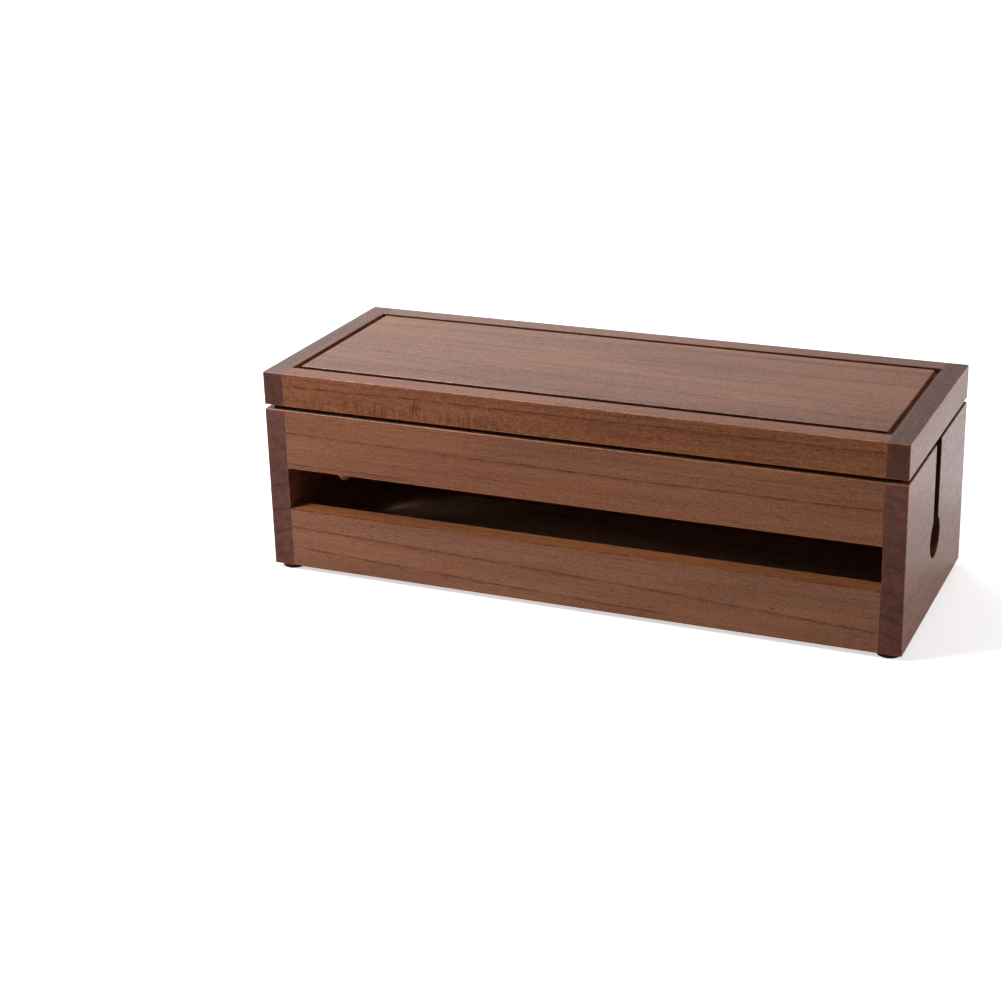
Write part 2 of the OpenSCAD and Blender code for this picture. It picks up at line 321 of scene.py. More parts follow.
class GrowthLine(Effect):
    """One dark growth line that runs along a board, as thin as a pencil stroke with a soft side."""

    title = "growth line"
    takes = ports("Along, Across, At, Slope, Curve, Start, Stop, Width, Strength")
    gives = ports("Line")
    fade = 18 * MM

    @classmethod
    def draw(cls, graph: Graph, given: dict[str, Socket]) -> dict[str, Socket]:
        """Draws the line's core, its soft side and its ends."""
        along = given["Along"]
        course = graph.math("MULTIPLY_ADD", along, given["Slope"], given["At"])
        course = graph.math("MULTIPLY_ADD", graph.times(along, along), given["Curve"], course)
        off = graph.math("DIVIDE", graph.math("SUBTRACT", given["Across"], course), given["Width"])
        core = graph.math("EXPONENT", graph.times(off, off, -1.0))
        soft = graph.times(graph.step(off, -5.0, -0.5), graph.step(off, -0.5, 0.6, 1.0, 0.0), 0.22)
        begin = graph.step(along, graph.math("SUBTRACT", given["Start"], cls.fade), given["Start"])
        end = graph.step(along, given["Stop"], graph.math("ADD", given["Stop"], cls.fade), 1.0, 0.0)
        spot = {0: graph.times(along, 90.0), 1: graph.times(given["At"], 900.0)}
        spot = graph.node("CombineXYZ", inputs=spot).outputs[0]
        flat = {"noise_dimensions": "2D"}
        patchy = graph.node("TexNoise", flat, {"Vector": spot, "Scale": 1.0, "Detail": 3.0}).outputs[0]
        patchy = graph.step(patchy, 0.3, 0.62, 0.5, 1.1)
        line = graph.math("MAXIMUM", core, soft)
        return {"Line": graph.times(given["Strength"], patchy, begin, end, line)}


class CurlFigure(Effect):
    """A patch of curl, with stripes across the grain, and a small tight knot in it."""

    title = "curl figure"
    takes = ports("Point, Centre, Half, Knot", Kind.VECTOR)
    gives = ports("Stripes, Knot")

    @classmethod
    def draw(cls, graph: Graph, given: dict[str, Socket]) -> dict[str, Socket]:
        """Draws the stripes within their patch, and the knot's bundle of bent strokes."""
        point = given["Point"]
        local = graph.vector("DIVIDE", graph.vector("SUBTRACT", point, given["Centre"]), given["Half"])
        along, across, _ = graph.parts(graph.vector("ABSOLUTE", local))
        patch = graph.times(graph.step(along, 0.35, 1.0, 1.0, 0.0), graph.step(across, 0.3, 1.0, 1.0, 0.0))
        stripes = graph.step(graph.noise(point, (820.0, 70.0, 70.0), 1.0), 0.43, 0.6)
        clumps = graph.step(graph.noise(point, (40.0, 60.0, 60.0), 1.0), 0.34, 0.56, 0.5, 1.25)
        near = graph.vector("SUBTRACT", point, given["Knot"])
        leaf = graph.vector("LENGTH", graph.vector("MULTIPLY", near, (1.0, 0.62, 0.0)))
        bent = graph.vector("SUBTRACT", near, (12 * MM, -1 * MM, 0.0))
        bent = graph.vector("LENGTH", graph.vector("MULTIPLY", bent, (1.0, 1.0, 0.0)))
        bent = graph.math("MULTIPLY_ADD", graph.centred(graph.noise(point, 260.0, 1.0)), 3 * MM, bent)
        strokes = graph.step(graph.math("SINE", graph.times(bent, 2900.0)), -0.4, 0.7, 0.4, 2.2)
        knot = graph.times(strokes, graph.step(leaf, 1.7 * MM, 3.9 * MM, 1.0, 0.0))
        return {"Stripes": graph.times(stripes, clumps, patch), "Knot": knot}


class EndGrain(Effect):
    """Where a face cuts across the grain, and where it looks up."""

    title = "end grain"
    takes = ports("Axis", Kind.VECTOR)
    gives = ports("End, Up")

    @classmethod
    def draw(cls, graph: Graph, given: dict[str, Socket]) -> dict[str, Socket]:
        """Compares the surface's direction with the grain's and with the vertical."""
        facing = graph.coordinate("Normal")
        turn = graph.vector("DOT_PRODUCT", facing, given["Axis"])
        return {
            "End": graph.step(graph.math("ABSOLUTE", turn), 0.55, 0.9),
            "Up": graph.step(graph.parts(facing)[2], 0.75, 0.95),
        }


class ArrisWear(Effect):
    """Eased arrises, where the stain is rubbed thin in places and a highlight is painted, and hollows and
    gaps, where shade is painted.
    """

    title = "arris wear"
    takes = ports("Point", Kind.VECTOR) | ports("Rub")
    gives = ports("Eased, Rubbed, Recess")

    @classmethod
    def draw(cls, graph: Graph, given: dict[str, Socket]) -> dict[str, Socket]:
        """Reads the marked faces and breaks them up."""
        eased = graph.node("Attribute", {"attribute_name": "arris"}).outputs["Fac"]
        recess = graph.node("Attribute", {"attribute_name": "recess"}).outputs["Fac"]
        patchy = graph.step(graph.noise(given["Point"], 260.0, 3.0, 0.65), 0.42, 0.6, 0.3, 1.0)
        broad = graph.step(graph.noise(given["Point"], 16.0, 1.0), 0.35, 0.6, 0.45, 1.0)
        cloud = graph.step(graph.noise(given["Point"], 90.0, 3.0), 0.3, 0.7, 0.8, 1.15)
        return {
            "Eased": eased,
            # Worn stain on the arrises, which also carries a painted highlight.
            "Rubbed": graph.times(patchy, broad, given["Rub"], eased),
            "Recess": graph.math("MULTIPLY", recess, cloud, clamp=True),
        }


class StainedWood(Effect):
    """The colour of stained wood, from its figure, with painted light and shade laid over it."""

    title = "stained wood"
    takes = ports("Light, Dark, End Tone, Arris Tone, Upper Tint", Kind.COLOUR) | ports(
        "Contrast, Rings, Ring, Fibre, Streak, Pores, Drift, Fleck, Line, Curl, End, Up, Rubbed, Recess"
    )
    gives = ports("Colour", Kind.COLOUR)
    line_tint = (0.38, 0.28, 0.3)
    pore_tint = (0.42, 0.34, 0.38)
    end_tint = (0.42, 0.38, 0.42)
    # Painted shade: the tint that darkens faces lying deep in a gap or hollow.
    painted_shade_tint = (0.18, 0.09, 0.09)

    @classmethod
    def draw(cls, graph: Graph, given: dict[str, Socket]) -> dict[str, Socket]:
        """Lays the figure's tones over each other."""
        swing = graph.total(
            (graph.centred(given["Fibre"]), 0.8),
            (graph.centred(given["Streak"]), 0.3),
            (graph.centred(given["Drift"]), 0.38),
        )
        tone = graph.math("MULTIPLY_ADD", swing, given["Contrast"], 0.45)
        rings = graph.times(given["Ring"], given["Rings"], 0.55)
        colour = graph.blend(graph.math("ADD", tone, rings, clamp=True), given["Light"], given["Dark"])
        # Painted light and shade: the face that looks up is tinted lighter or darker for how the light
        # strikes it.
        colour = graph.shaded(given["Up"], colour, given["Upper Tint"])
        drawn = graph.total((given["Line"], 0.9), (given["Curl"], 0.44))
        colour = graph.shaded(graph.math("MINIMUM", drawn, 1.0), colour, cls.line_tint)
        colour = graph.shaded(graph.times(given["Pores"], 0.75), colour, cls.pore_tint)
        mottle = {"Fibre": 0.16, "Drift": 0.4, "Ring": 0.5, "Fleck": 0.4}
        mottle = graph.total(*((given[name], factor) for name, factor in mottle.items()))
        ends = graph.shaded(mottle, given["End Tone"], cls.end_tint)
        colour = graph.blend(given["End"], colour, ends)
        # The arrises: worn stain, partly lightened as a painted highlight.
        colour = graph.blend(given["Rubbed"], colour, given["Arris Tone"])
        # Painted shade: faces marked as lying deep in a gap or hollow are darkened.
        return {"Colour": graph.shaded(given["Recess"], colour, cls.painted_shade_tint)}


class SatinFilm(Effect):
    """Satin varnish: how rough it is from place to place, and its faint unevenness."""

    title = "satin film"
    takes = ports("Point", Kind.VECTOR) | ports(
        "Roughness, Coat, Top Coat, Arris Coat, Arris Roughness, Fibre, Pores, End, Up, Eased, Recess"
    )
    gives = ports("Roughness, Coat, Height")
    least_rough = 0.12

    @classmethod
    def draw(cls, graph: Graph, given: dict[str, Socket]) -> dict[str, Socket]:
        """Draws the film's roughness, where it lies, and its soft brush marks."""
        cloud = graph.centred(graph.noise(given["Point"], (24.0, 60.0, 60.0)))
        fibre = graph.centred(given["Fibre"])
        # The painted-shade mask also makes the film a little smoother, and below it thins the coat, so that
        # shaded faces reflect less.
        rough = graph.total(
            (given["Roughness"], 1.0),
            (cloud, 0.1),
            (fibre, 0.06),
            (given["Pores"], 0.12),
            (given["End"], 0.16),
            (given["Eased"], given["Arris Roughness"]),
            (given["Recess"], -0.05),
        )
        film = graph.math("MULTIPLY_ADD", given["Up"], given["Top Coat"], given["Coat"])
        film = graph.math("MULTIPLY_ADD", given["Eased"], given["Arris Coat"], film, clamp=True)
        bare = graph.total(
            (given["End"], -0.85),
            (given["Pores"], -0.3),
            (given["Recess"], -1.5),
            (cloud, 0.3),
            (fibre, -0.35),
            (1.0, 1.0),
        )
        brush = graph.noise(given["Point"], (30.0, 260.0, 260.0))
        return {
            "Roughness": graph.math("MAXIMUM", rough, cls.least_rough),
            "Coat": graph.math("MULTIPLY", film, bare, clamp=True),
            "Height": graph.total((brush, 0.6), (graph.noise(given["Point"], 420.0), 0.25)),
        }


# ---------------------------------------------------------------- finishes


class Lay(Enum):
    """How a board lies: the rows give its along, across and depth directions."""

    LONG_UPRIGHT = ((1, 0, 0), (0, 0, 1), (0, -1, 0))
    LONG_FLAT = ((1, 0, 0), (0, 1, 0), (0, 0, 1))
    SHORT_UPRIGHT = ((0, 1, 0), (0, 0, 1), (1, 0, 0))
    SHORT_FLAT = ((0, 1, 0), (-1, 0, 0), (0, 0, 1))


@dataclass(frozen=True)
class Line:
    """Where one growth line runs, in millimetres along and across the board.

    Args:
        at: its height across the board in the middle.
        slope: its rise for each millimetre along.
        curve: its bend, in units of 1e-5 for each square millimetre along.
        start: where it begins.
        stop: where it ends.
        strength: how dark it is.
        width: half its width.
    """

    at: float
    slope: float = 0.0
    curve: float = 0.0
    start: float = -400.0
    stop: float = 400.0
    strength: float = 1.0
    width: float = 0.55


@dataclass(frozen=True)
class Curl:
    """Where a patch of curl and its knot lie, in millimetres along and across the board."""

    centre: tuple[float, float]
    half: tuple[float, float]
    knot: tuple[float, float]


@dataclass(frozen=True)
class Tones:
    """The four colours of a stained board."""

    light: Triple
    dark: Triple
    end: Triple
    # The arris colour is partly worn stain and partly a painted highlight.
    arris: Triple


# In each set the arris tone is partly worn stain and partly a painted highlight.
RAIL_TONES = Tones((0.25, 0.092, 0.038), (0.125, 0.041, 0.018), (0.085, 0.026, 0.014), (0.4, 0.17, 0.07))
UPPER_TONES = Tones((0.248, 0.09, 0.037), (0.123, 0.039, 0.018), (0.085, 0.026, 0.014), (0.5, 0.22, 0.1))
LOWER_TONES = Tones((0.275, 0.104, 0.045), (0.138, 0.047, 0.022), (0.085, 0.026, 0.014), (0.11, 0.02, 0.006))
# Painted light: the panel's end tone is much lighter than end grain, to light its end walls in the reveal.
PANEL_TONES = Tones((0.25, 0.093, 0.041), (0.112, 0.037, 0.018), (0.5, 0.23, 0.11), (0.5, 0.24, 0.13))
END_TONES = Tones((0.285, 0.1, 0.05), (0.15, 0.047, 0.025), (0.14, 0.049, 0.033), (0.5, 0.2, 0.1))
LID_END_TONES = Tones((0.285, 0.1, 0.05), (0.15, 0.047, 0.025), (0.106, 0.034, 0.02), (0.5, 0.2, 0.1))
BEECH_TONES = Tones((0.62, 0.42, 0.25), (0.46, 0.28, 0.15), (0.5, 0.32, 0.17), (0.66, 0.46, 0.28))


@dataclass(frozen=True)
class Finish:
    """A material.

    Args:
        name: the material's name.
    """

    name: str

    def make(self) -> bpy.types.Material:
        """Builds the material and returns it."""
        material = bpy.data.materials.new(self.name)
        graph = Graph.blank(material)
        shader = graph.node("BsdfPrincipled", inputs=self.draw(graph))
        graph.node("OutputMaterial", inputs={"Surface": shader.outputs[0]})
        return material

    def draw(self, graph: Graph) -> dict[str, object]:
        """Draws the finish.

        Args:
            graph: the material's graph.

        Returns:
            What each of the shader's inputs gets.
        """
        raise NotImplementedError


@dataclass(frozen=True)
class StainedBoard(Finish):
    """Solid wood under a brown stain and satin varnish, with a figure of its own.

    Args:
        lay: how the board lies.
        tones: its colours.
        shift: moves the fibres, so that no two boards match, in metres.
        pith: how far across and how deep the middle of the tree lies, in millimetres.
        spacing: the mean width of a growth ring, in millimetres.
        bend: how far the rings wander, in millimetres.
        slope: how much the rings run out along the board.
        wave: how far the growth lines swing, in millimetres.
        rings: how strongly the rings show.
        contrast: how strongly fibres and streaks show.
        roughness: the varnish's roughness.
        coat: the weight of the varnish's own gloss.
        top_coat: how much heavier the varnish lies on the face that looks up.
        arris_coat: how much heavier it lies on the arrises.
        arris_rough: how much rougher it is there.
        tooth: how strongly the grain is felt through it.
        gloss: the specular level of the wood under it.
        lines: the clear growth lines.
        curl: a patch of curl, if it has one.
        rub: how far the arrises are rubbed, and lightened as a painted highlight.
        upper: painted light and shade, a tint that makes the face that looks up lighter or darker as the
            light strikes it.
        fall: painted shade, how much darker the board gets along its length, for each metre.
        shade_slope_across: the same painted shade across it.
    """

    lay: Lay
    tones: Tones = RAIL_TONES
    shift: Triple = (0.0, 0.0, 0.0)
    pith: tuple[float, float] = (240.0, 60.0)
    spacing: float = 9.0
    bend: float = 10.0
    slope: float = 0.01
    wave: float = 0.7
    rings: float = 0.35
    contrast: float = 0.85
    roughness: float = 0.42
    coat: float = 0.03
    top_coat: float = 0.0
    arris_coat: float = 0.25
    arris_rough: float = -0.1
    tooth: float = 0.35
    gloss: float = 0.34
    lines: tuple[Line, ...] = ()
    curl: Curl | None = None
    rub: float = 0.5
    upper: Triple = WHITE
    fall: float = 0.0
    shade_slope_across: float = 0.0

    def draw(self, graph: Graph) -> dict[str, object]:
        """Draws the wood's figure, its stain and its varnish; as in Finish."""
        turn = Matrix(self.lay.value).to_euler("XYZ")
        point = {"Vector": graph.coordinate("Object"), "Rotation": turn}
        point = graph.node("Mapping", inputs=point).outputs[0]
        figure = graph.effect(
            TimberFigure,
            Point=point,
            Shift=self.shift,
            Pith_Across=self.pith[0] * MM,
            Pith_Depth=self.pith[1] * MM,
            Spacing=self.spacing * MM,
            Bend=self.bend * MM,
            Slope=self.slope,
            Wave=self.wave * MM,
            Fall=self.fall,
            Fall_Across=self.shade_slope_across,
        )
        faces = graph.effect(EndGrain, Axis=self.lay.value[0])
        worn = graph.effect(ArrisWear, Point=point, Rub=self.rub)
        wood = graph.effect(
            StainedWood,
            *(figure, faces, worn),
            Light=self.tones.light,
            Dark=self.tones.dark,
            End_Tone=self.tones.end,
            Arris_Tone=self.tones.arris,
            Upper_Tint=self.upper,
            Contrast=self.contrast,
            Rings=self.rings,
            Line=self.drawn_lines(graph, point, figure.outputs["Wave"]),
            Curl=self.drawn_curl(graph, point),
        )
        film = graph.effect(
            SatinFilm,
            *(figure, faces, worn),
            Point=point,
            Roughness=self.roughness,
            Coat=self.coat,
            Top_Coat=self.top_coat,
            Arris_Coat=self.arris_coat,
            Arris_Roughness=self.arris_rough,
        ).outputs
        height = graph.total((film["Height"], 0.5), (figure.outputs["Height"], 0.5))
        return {
            "Base Color": wood.outputs["Colour"],
            "Roughness": film["Roughness"],
            "Normal": graph.bump(self.tooth, 0.12 * MM, height),
            "IOR": 1.5,
            "Specular IOR Level": self.gloss,
            "Coat Weight": film["Coat"],
            "Coat Roughness": 0.3,
        }

    def drawn_lines(self, graph: Graph, point: Socket, wave: Socket) -> object:
        """Draws the board's growth lines.

        Args:
            graph: the material's graph.
            point: the place along, across and into the board.
            wave: how far the lines swing here.

        Returns:
            The lines' darkness, or 0 for a board without any.
        """
        along, across, _ = graph.parts(point)
        across = graph.math("ADD", across, wave)
        dark: object = 0.0
        for line in self.lines:
            drawn = graph.effect(
                GrowthLine,
                Along=along,
                Across=across,
                At=line.at * MM,
                Slope=line.slope,
                Curve=line.curve * 1e-5 / MM,
                Start=line.start * MM,
                Stop=line.stop * MM,
                Width=line.width * MM,
                Strength=line.strength,
            )
            dark = graph.math("MAXIMUM", dark, drawn.outputs[0])
        return dark

    def drawn_curl(self, graph: Graph, point: Socket) -> object:
        """Draws the board's curl, and returns its darkness, or 0 for a plain board."""
        if self.curl is None:
            return 0.0
        made = graph.effect(
            CurlFigure,
            Point=point,
            Centre=(self.curl.centre[0] * MM, self.curl.centre[1] * MM, 0.0),
            Half=(self.curl.half[0] * MM, self.curl.half[1] * MM, 1.0),
            Knot=(self.curl.knot[0] * MM, self.curl.knot[1] * MM, 0.0),
        )
        return graph.math("MAXIMUM", made.outputs["Stripes"], made.outputs["Knot"])


@dataclass(frozen=True)
class Rubber(Finish):
    """Matt black rubber, a little scuffed and dusty where it stands.

    Args:
        colour: the rubber's colour.
        dust: the dust's colour.
        dusty_to: how high up the dust reaches.
    """

    name: str = "foot rubber"
    colour: Triple = (0.008, 0.007, 0.007)
    dust: Triple = (0.09, 0.085, 0.08)
    dusty_to: float = 1.1 * MM

    def draw(self, graph: Graph) -> dict[str, object]:
        """Draws the grit and the dust; as in Finish."""
        place = graph.coordinate("Object")
        grit = graph.noise(place, 2600.0)
        cloud = graph.step(graph.noise(place, 420.0, 3.0, 0.6), 0.45, 0.75)
        dusty = graph.times(cloud, graph.step(graph.parts(place)[2], 0.0, self.dusty_to, 1.0, 0.15), 0.2)
        return {
            "Base Color": graph.blend(dusty, self.colour, self.dust),
            "Roughness": graph.total((grit, 0.16), (dusty, 0.2), (1.0, 0.52)),
            "Normal": graph.bump(0.4, 0.08 * MM, grit),
            "Specular IOR Level": 0.15,
        }


@dataclass(frozen=True)
class PlatedSteel(Finish):
    """Zinc-plated steel with turning marks and a thin warm haze.

    Args:
        bright: the clean plating's colour.
        dull: the haze's colour.
    """

    name: str = "plated steel"
    bright: Triple = (0.62, 0.6, 0.56)
    dull: Triple = (0.34, 0.31, 0.26)

    def draw(self, graph: Graph) -> dict[str, object]:
        """Draws the turning marks and the haze; as in Finish."""
        place = graph.coordinate("Object")
        marks = graph.noise(place, (700.0, 700.0, 5200.0), 2.0, 0.6)
        haze = graph.step(graph.noise(place, 330.0, 3.0, 0.6), 0.4, 0.72)
        return {
            "Base Color": graph.blend(haze, self.bright, self.dull),
            "Metallic": 1.0,
            "Roughness": graph.total((marks, 0.18), (haze, 0.14), (1.0, 0.2)),
            "Normal": graph.bump(0.3, 0.03 * MM, marks),
        }


@dataclass(frozen=True)
class Plywood(Finish):
    """Thin plywood: a plain-sliced face, and layered edges.

    Args:
        tones: its colours; the end tone and the dark one make the layers.
        underside: the level of its underside.
        layer: the thickness of a layer.
    """

    name: str = "stained plywood"
    tones: Tones = Tones((0.5, 0.28, 0.17), (0.32, 0.155, 0.09), (0.25, 0.13, 0.07), (0.3, 0.15, 0.08))
    underside: float = 3.0 * MM
    layer: float = 1.0 * MM

    def draw(self, graph: Graph) -> dict[str, object]:
        """Draws the sliced face and the layers of the edges; as in Finish."""
        place = graph.coordinate("Object")
        figure = graph.effect(
            TimberFigure,
            Point=place,
            Shift=(0.7, 0.3, 0.9),
            Pith_Depth=-4 * MM,
            Spacing=13 * MM,
            Bend=90 * MM,
            Slope=0.05,
        )
        face = graph.effect(
            StainedWood, figure, Light=self.tones.light, Dark=self.tones.dark, Contrast=1.0, Rings=0.9
        )
        upright = graph.math("ABSOLUTE", graph.parts(graph.coordinate("Normal"))[2])
        above = graph.math("SUBTRACT", graph.parts(place)[2], self.underside)
        ply = graph.math("DIVIDE", graph.math("PINGPONG", above, self.layer), self.layer)
        layers = graph.blend(graph.step(ply, 0.35, 0.65), self.tones.end, self.tones.dark)
        edge = graph.step(upright, 0.3, 0.7, 1.0, 0.0)
        seen = figure.outputs
        return {
            "Base Color": graph.blend(edge, face.outputs["Colour"], layers),
            "Roughness": graph.total((seen["Fibre"], 0.1), (seen["Pores"], 0.1), (1.0, 0.56)),
            "Normal": graph.bump(0.5, 0.18 * MM, seen["Height"]),
            "IOR": 1.48,
        }


# ---------------------------------------------------------------- bench work


class Ease(float, Enum):
    """The share of a full rounding that an arris gets."""

    NONE = 0.0
    BUTTED = 0.25
    HALF = 0.5
    FIELD = 0.75
    LONG = 0.9
    FULL = 1.0


class Shade(float, Enum):
    """How much painted shade a face gets: 0 out in the open, 1 deep inside a hollow."""

    OPEN = 0.0
    INNER = 0.1
    HOLLOW = 0.3
    HOLE = 0.35
    END_REVEAL = 0.4
    END_INNER = 0.45
    SHOULDER = 0.7
    SLOT = 0.75
    LONG_REVEAL = 0.85
    LIP = 0.9
    DEEP = 1.0


class Bench:
    """The joiner's bench: it saws stock, cuts it and eases its arrises."""

    @staticmethod
    def alone(piece: Piece) -> None:
        """Selects one object and nothing else."""
        bpy.ops.object.select_all(action="DESELECT")
        piece.select_set(True)
        bpy.context.view_layer.objects.active = piece

    @staticmethod
    def settle(piece: Piece, name: str) -> Piece:
        """Names an object, puts its place, turn and size into its mesh, and returns it."""
        piece.name = piece.data.name = name
        Bench.alone(piece)
        bpy.ops.object.transform_apply(location=True, rotation=True, scale=True)
        return piece

    @staticmethod
    def stock(name: str, low: Vector, high: Vector) -> Piece:
        """Saws a square block between its lowest and its highest corner, and returns it."""
        bpy.ops.mesh.primitive_cube_add(size=1.0, location=(low + high) / 2)
        bpy.context.object.scale = high - low
        return Bench.settle(bpy.context.object, name)

    @staticmethod
    def rod(name: str, centre: Vector, radius: float, length: float, along: Vector, sides: int) -> Piece:
        """Turns a round rod.

        Args:
            name: the piece's name.
            centre: its middle.
            radius: its radius.
            length: its length.
            along: the direction of its axis.
            sides: how many sides its circle has.

        Returns:
            The rod, with its place in its mesh.
        """
        bpy.ops.mesh.primitive_cylinder_add(vertices=sides, radius=radius, depth=length, location=centre)
        bpy.context.object.rotation_mode = "QUATERNION"
        bpy.context.object.rotation_quaternion = along.to_track_quat("Z", "Y")
        return Bench.settle(bpy.context.object, name)

    @staticmethod
    @contextmanager
    def editing(piece: Piece, test: Test = lambda at, way: True) -> Iterator[None]:
        """Opens a piece for editing with some faces selected, and closes it at the end.

        Args:
            piece: the piece to edit.
            test: takes a face's centre and normal, and says whether it is selected.
        """
        Bench.alone(piece)
        mesh = piece.data
        for parts in (mesh.vertices, mesh.edges, mesh.polygons):
            parts.foreach_set("select", [False] * len(parts))
        for face in mesh.polygons:
            face.select = test(face.center, face.normal)
        bpy.context.tool_settings.mesh_select_mode = (False, False, True)
        bpy.ops.object.mode_set(mode="EDIT")
        yield
        bpy.ops.object.mode_set(mode="OBJECT")

    @staticmethod
    def score(piece: Piece, axis: Vector, *places: float) -> None:
        """Scores a piece all round, along planes square to an axis at the given places on it."""
        for place in places:
            with Bench.editing(piece):
                bpy.ops.mesh.bisect(plane_co=axis * place, plane_no=axis)

    @staticmethod
    def lift_selected(rise: float) -> None:
        """Extrudes the selected faces straight up."""
        bpy.ops.mesh.extrude_region_move(TRANSFORM_OT_translate={"value": Z * rise})

    @staticmethod
    def cut(piece: Piece, *tools: Piece) -> None:
        """Takes the tools' shapes out of a piece, and keeps the tools."""
        Bench.alone(piece)
        for tool in tools:
            made = piece.modifiers.new("cut", "BOOLEAN")
            made.operation = "DIFFERENCE"
            made.solver = "EXACT"
            made.object = tool
            bpy.ops.object.modifier_apply(modifier=made.name)

    @staticmethod
    def scrap(*tools: Piece) -> None:
        """Removes tools."""
        for tool in tools:
            mesh = tool.data
            bpy.data.objects.remove(tool)
            bpy.data.meshes.remove(mesh)

    @staticmethod
    def tidy(piece: Piece) -> None:
        """Merges flat faces and double points, so that only real edges are left."""
        with Bench.editing(piece):
            bpy.ops.mesh.remove_doubles(threshold=1e-6)
            bpy.ops.mesh.dissolve_limited(angle_limit=math.radians(0.5))

    @staticmethod
    def ease(piece: Piece, radius: float, weigh: Weigh, segments: int = 3) -> None:
        """Rounds a piece's outer arrises and marks the rounded faces.

        Args:
            piece: the piece to ease.
            radius: the radius of a full rounding.
            weigh: takes an edge's middle and direction, and gives its share of that radius.
            segments: how many facets a rounding has.
        """
        shape = bmesh.new()
        shape.from_mesh(piece.data)
        weight = shape.edges.layers.float.new("bevel_weight_edge")
        sharp = math.radians(25.0)
        for edge in shape.edges:
            if len(edge.link_faces) == 2 and edge.calc_face_angle_signed(0.0) > sharp:
                first, second = edge.verts[0].co, edge.verts[1].co
                edge[weight] = weigh((first + second) / 2, (second - first).normalized())
        shape.to_mesh(piece.data)
        shape.free()
        Bench.alone(piece)
        for _ in range(2):
            piece.data.materials.append(None)
        made = piece.modifiers.new("ease", "BEVEL")
        made.limit_method = "WEIGHT"
        made.width = radius
        made.segments = segments
        made.material = 1
        made.use_clamp_overlap = True
        bpy.ops.object.modifier_apply(modifier=made.name)
        eased = [float(face.material_index == 1) for face in piece.data.polygons]
        mark = piece.data.attributes.new("arris", "FLOAT", "FACE")
        mark.data.foreach_set("value", eased)
        piece.data.polygons.foreach_set("material_index", [0] * len(eased))
        piece.data.materials.clear()

    @staticmethod
    def polish(piece: Piece) -> None:
        """Shades the roundings smooth and keeps the flat faces flat."""
        Bench.alone(piece)
        bpy.ops.object.shade_smooth_by_angle(angle=math.radians(40.0))
        made = piece.modifiers.new("polish", "WEIGHTED_NORMAL")
        made.keep_sharp = True
        made.weight = 100
        bpy.ops.object.modifier_apply(modifier=made.name)

    @staticmethod
    def plane(piece: Piece, radius: float, share: Weigh, recess: Weigh) -> None:
        """Eases a board, marks the painted shade of each face, and polishes it.

        Args:
            piece: the board.
            radius: the radius of a full rounding.
            share: takes an edge's middle and direction, and gives its share of that radius.
            recess: takes a face's centre and normal, and gives its painted shade, 0 for open and 1 for deep.
        """
        Bench.ease(piece, radius, share)
        # Painted shade: each face's darkening is stored on the mesh for the finish to read.
        mark = piece.data.attributes.new("recess", "FLOAT", "FACE")
        mark.data.foreach_set("value", [recess(face.center, face.normal) for face in piece.data.polygons])
        Bench.polish(piece)


def dress(piece: Piece, material: bpy.types.Material, body: str, slot: str, *nodes: str) -> None:
    """Gives a finished piece its material and its place in the assembly.

    Args:
        piece: the piece.
        material: its finish.
        body: the body that it rides on.
        slot: the name of a material slot; not used.
        nodes: the CAD nodes that it stands for.
    """
    piece.data.materials.clear()
    piece.data.materials.append(material)
    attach(piece, body)
    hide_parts(*nodes)
    LOG.info("%s: %d faces, on %s", piece.name, len(piece.data.polygons), body)


# ---------------------------------------------------------------- the box


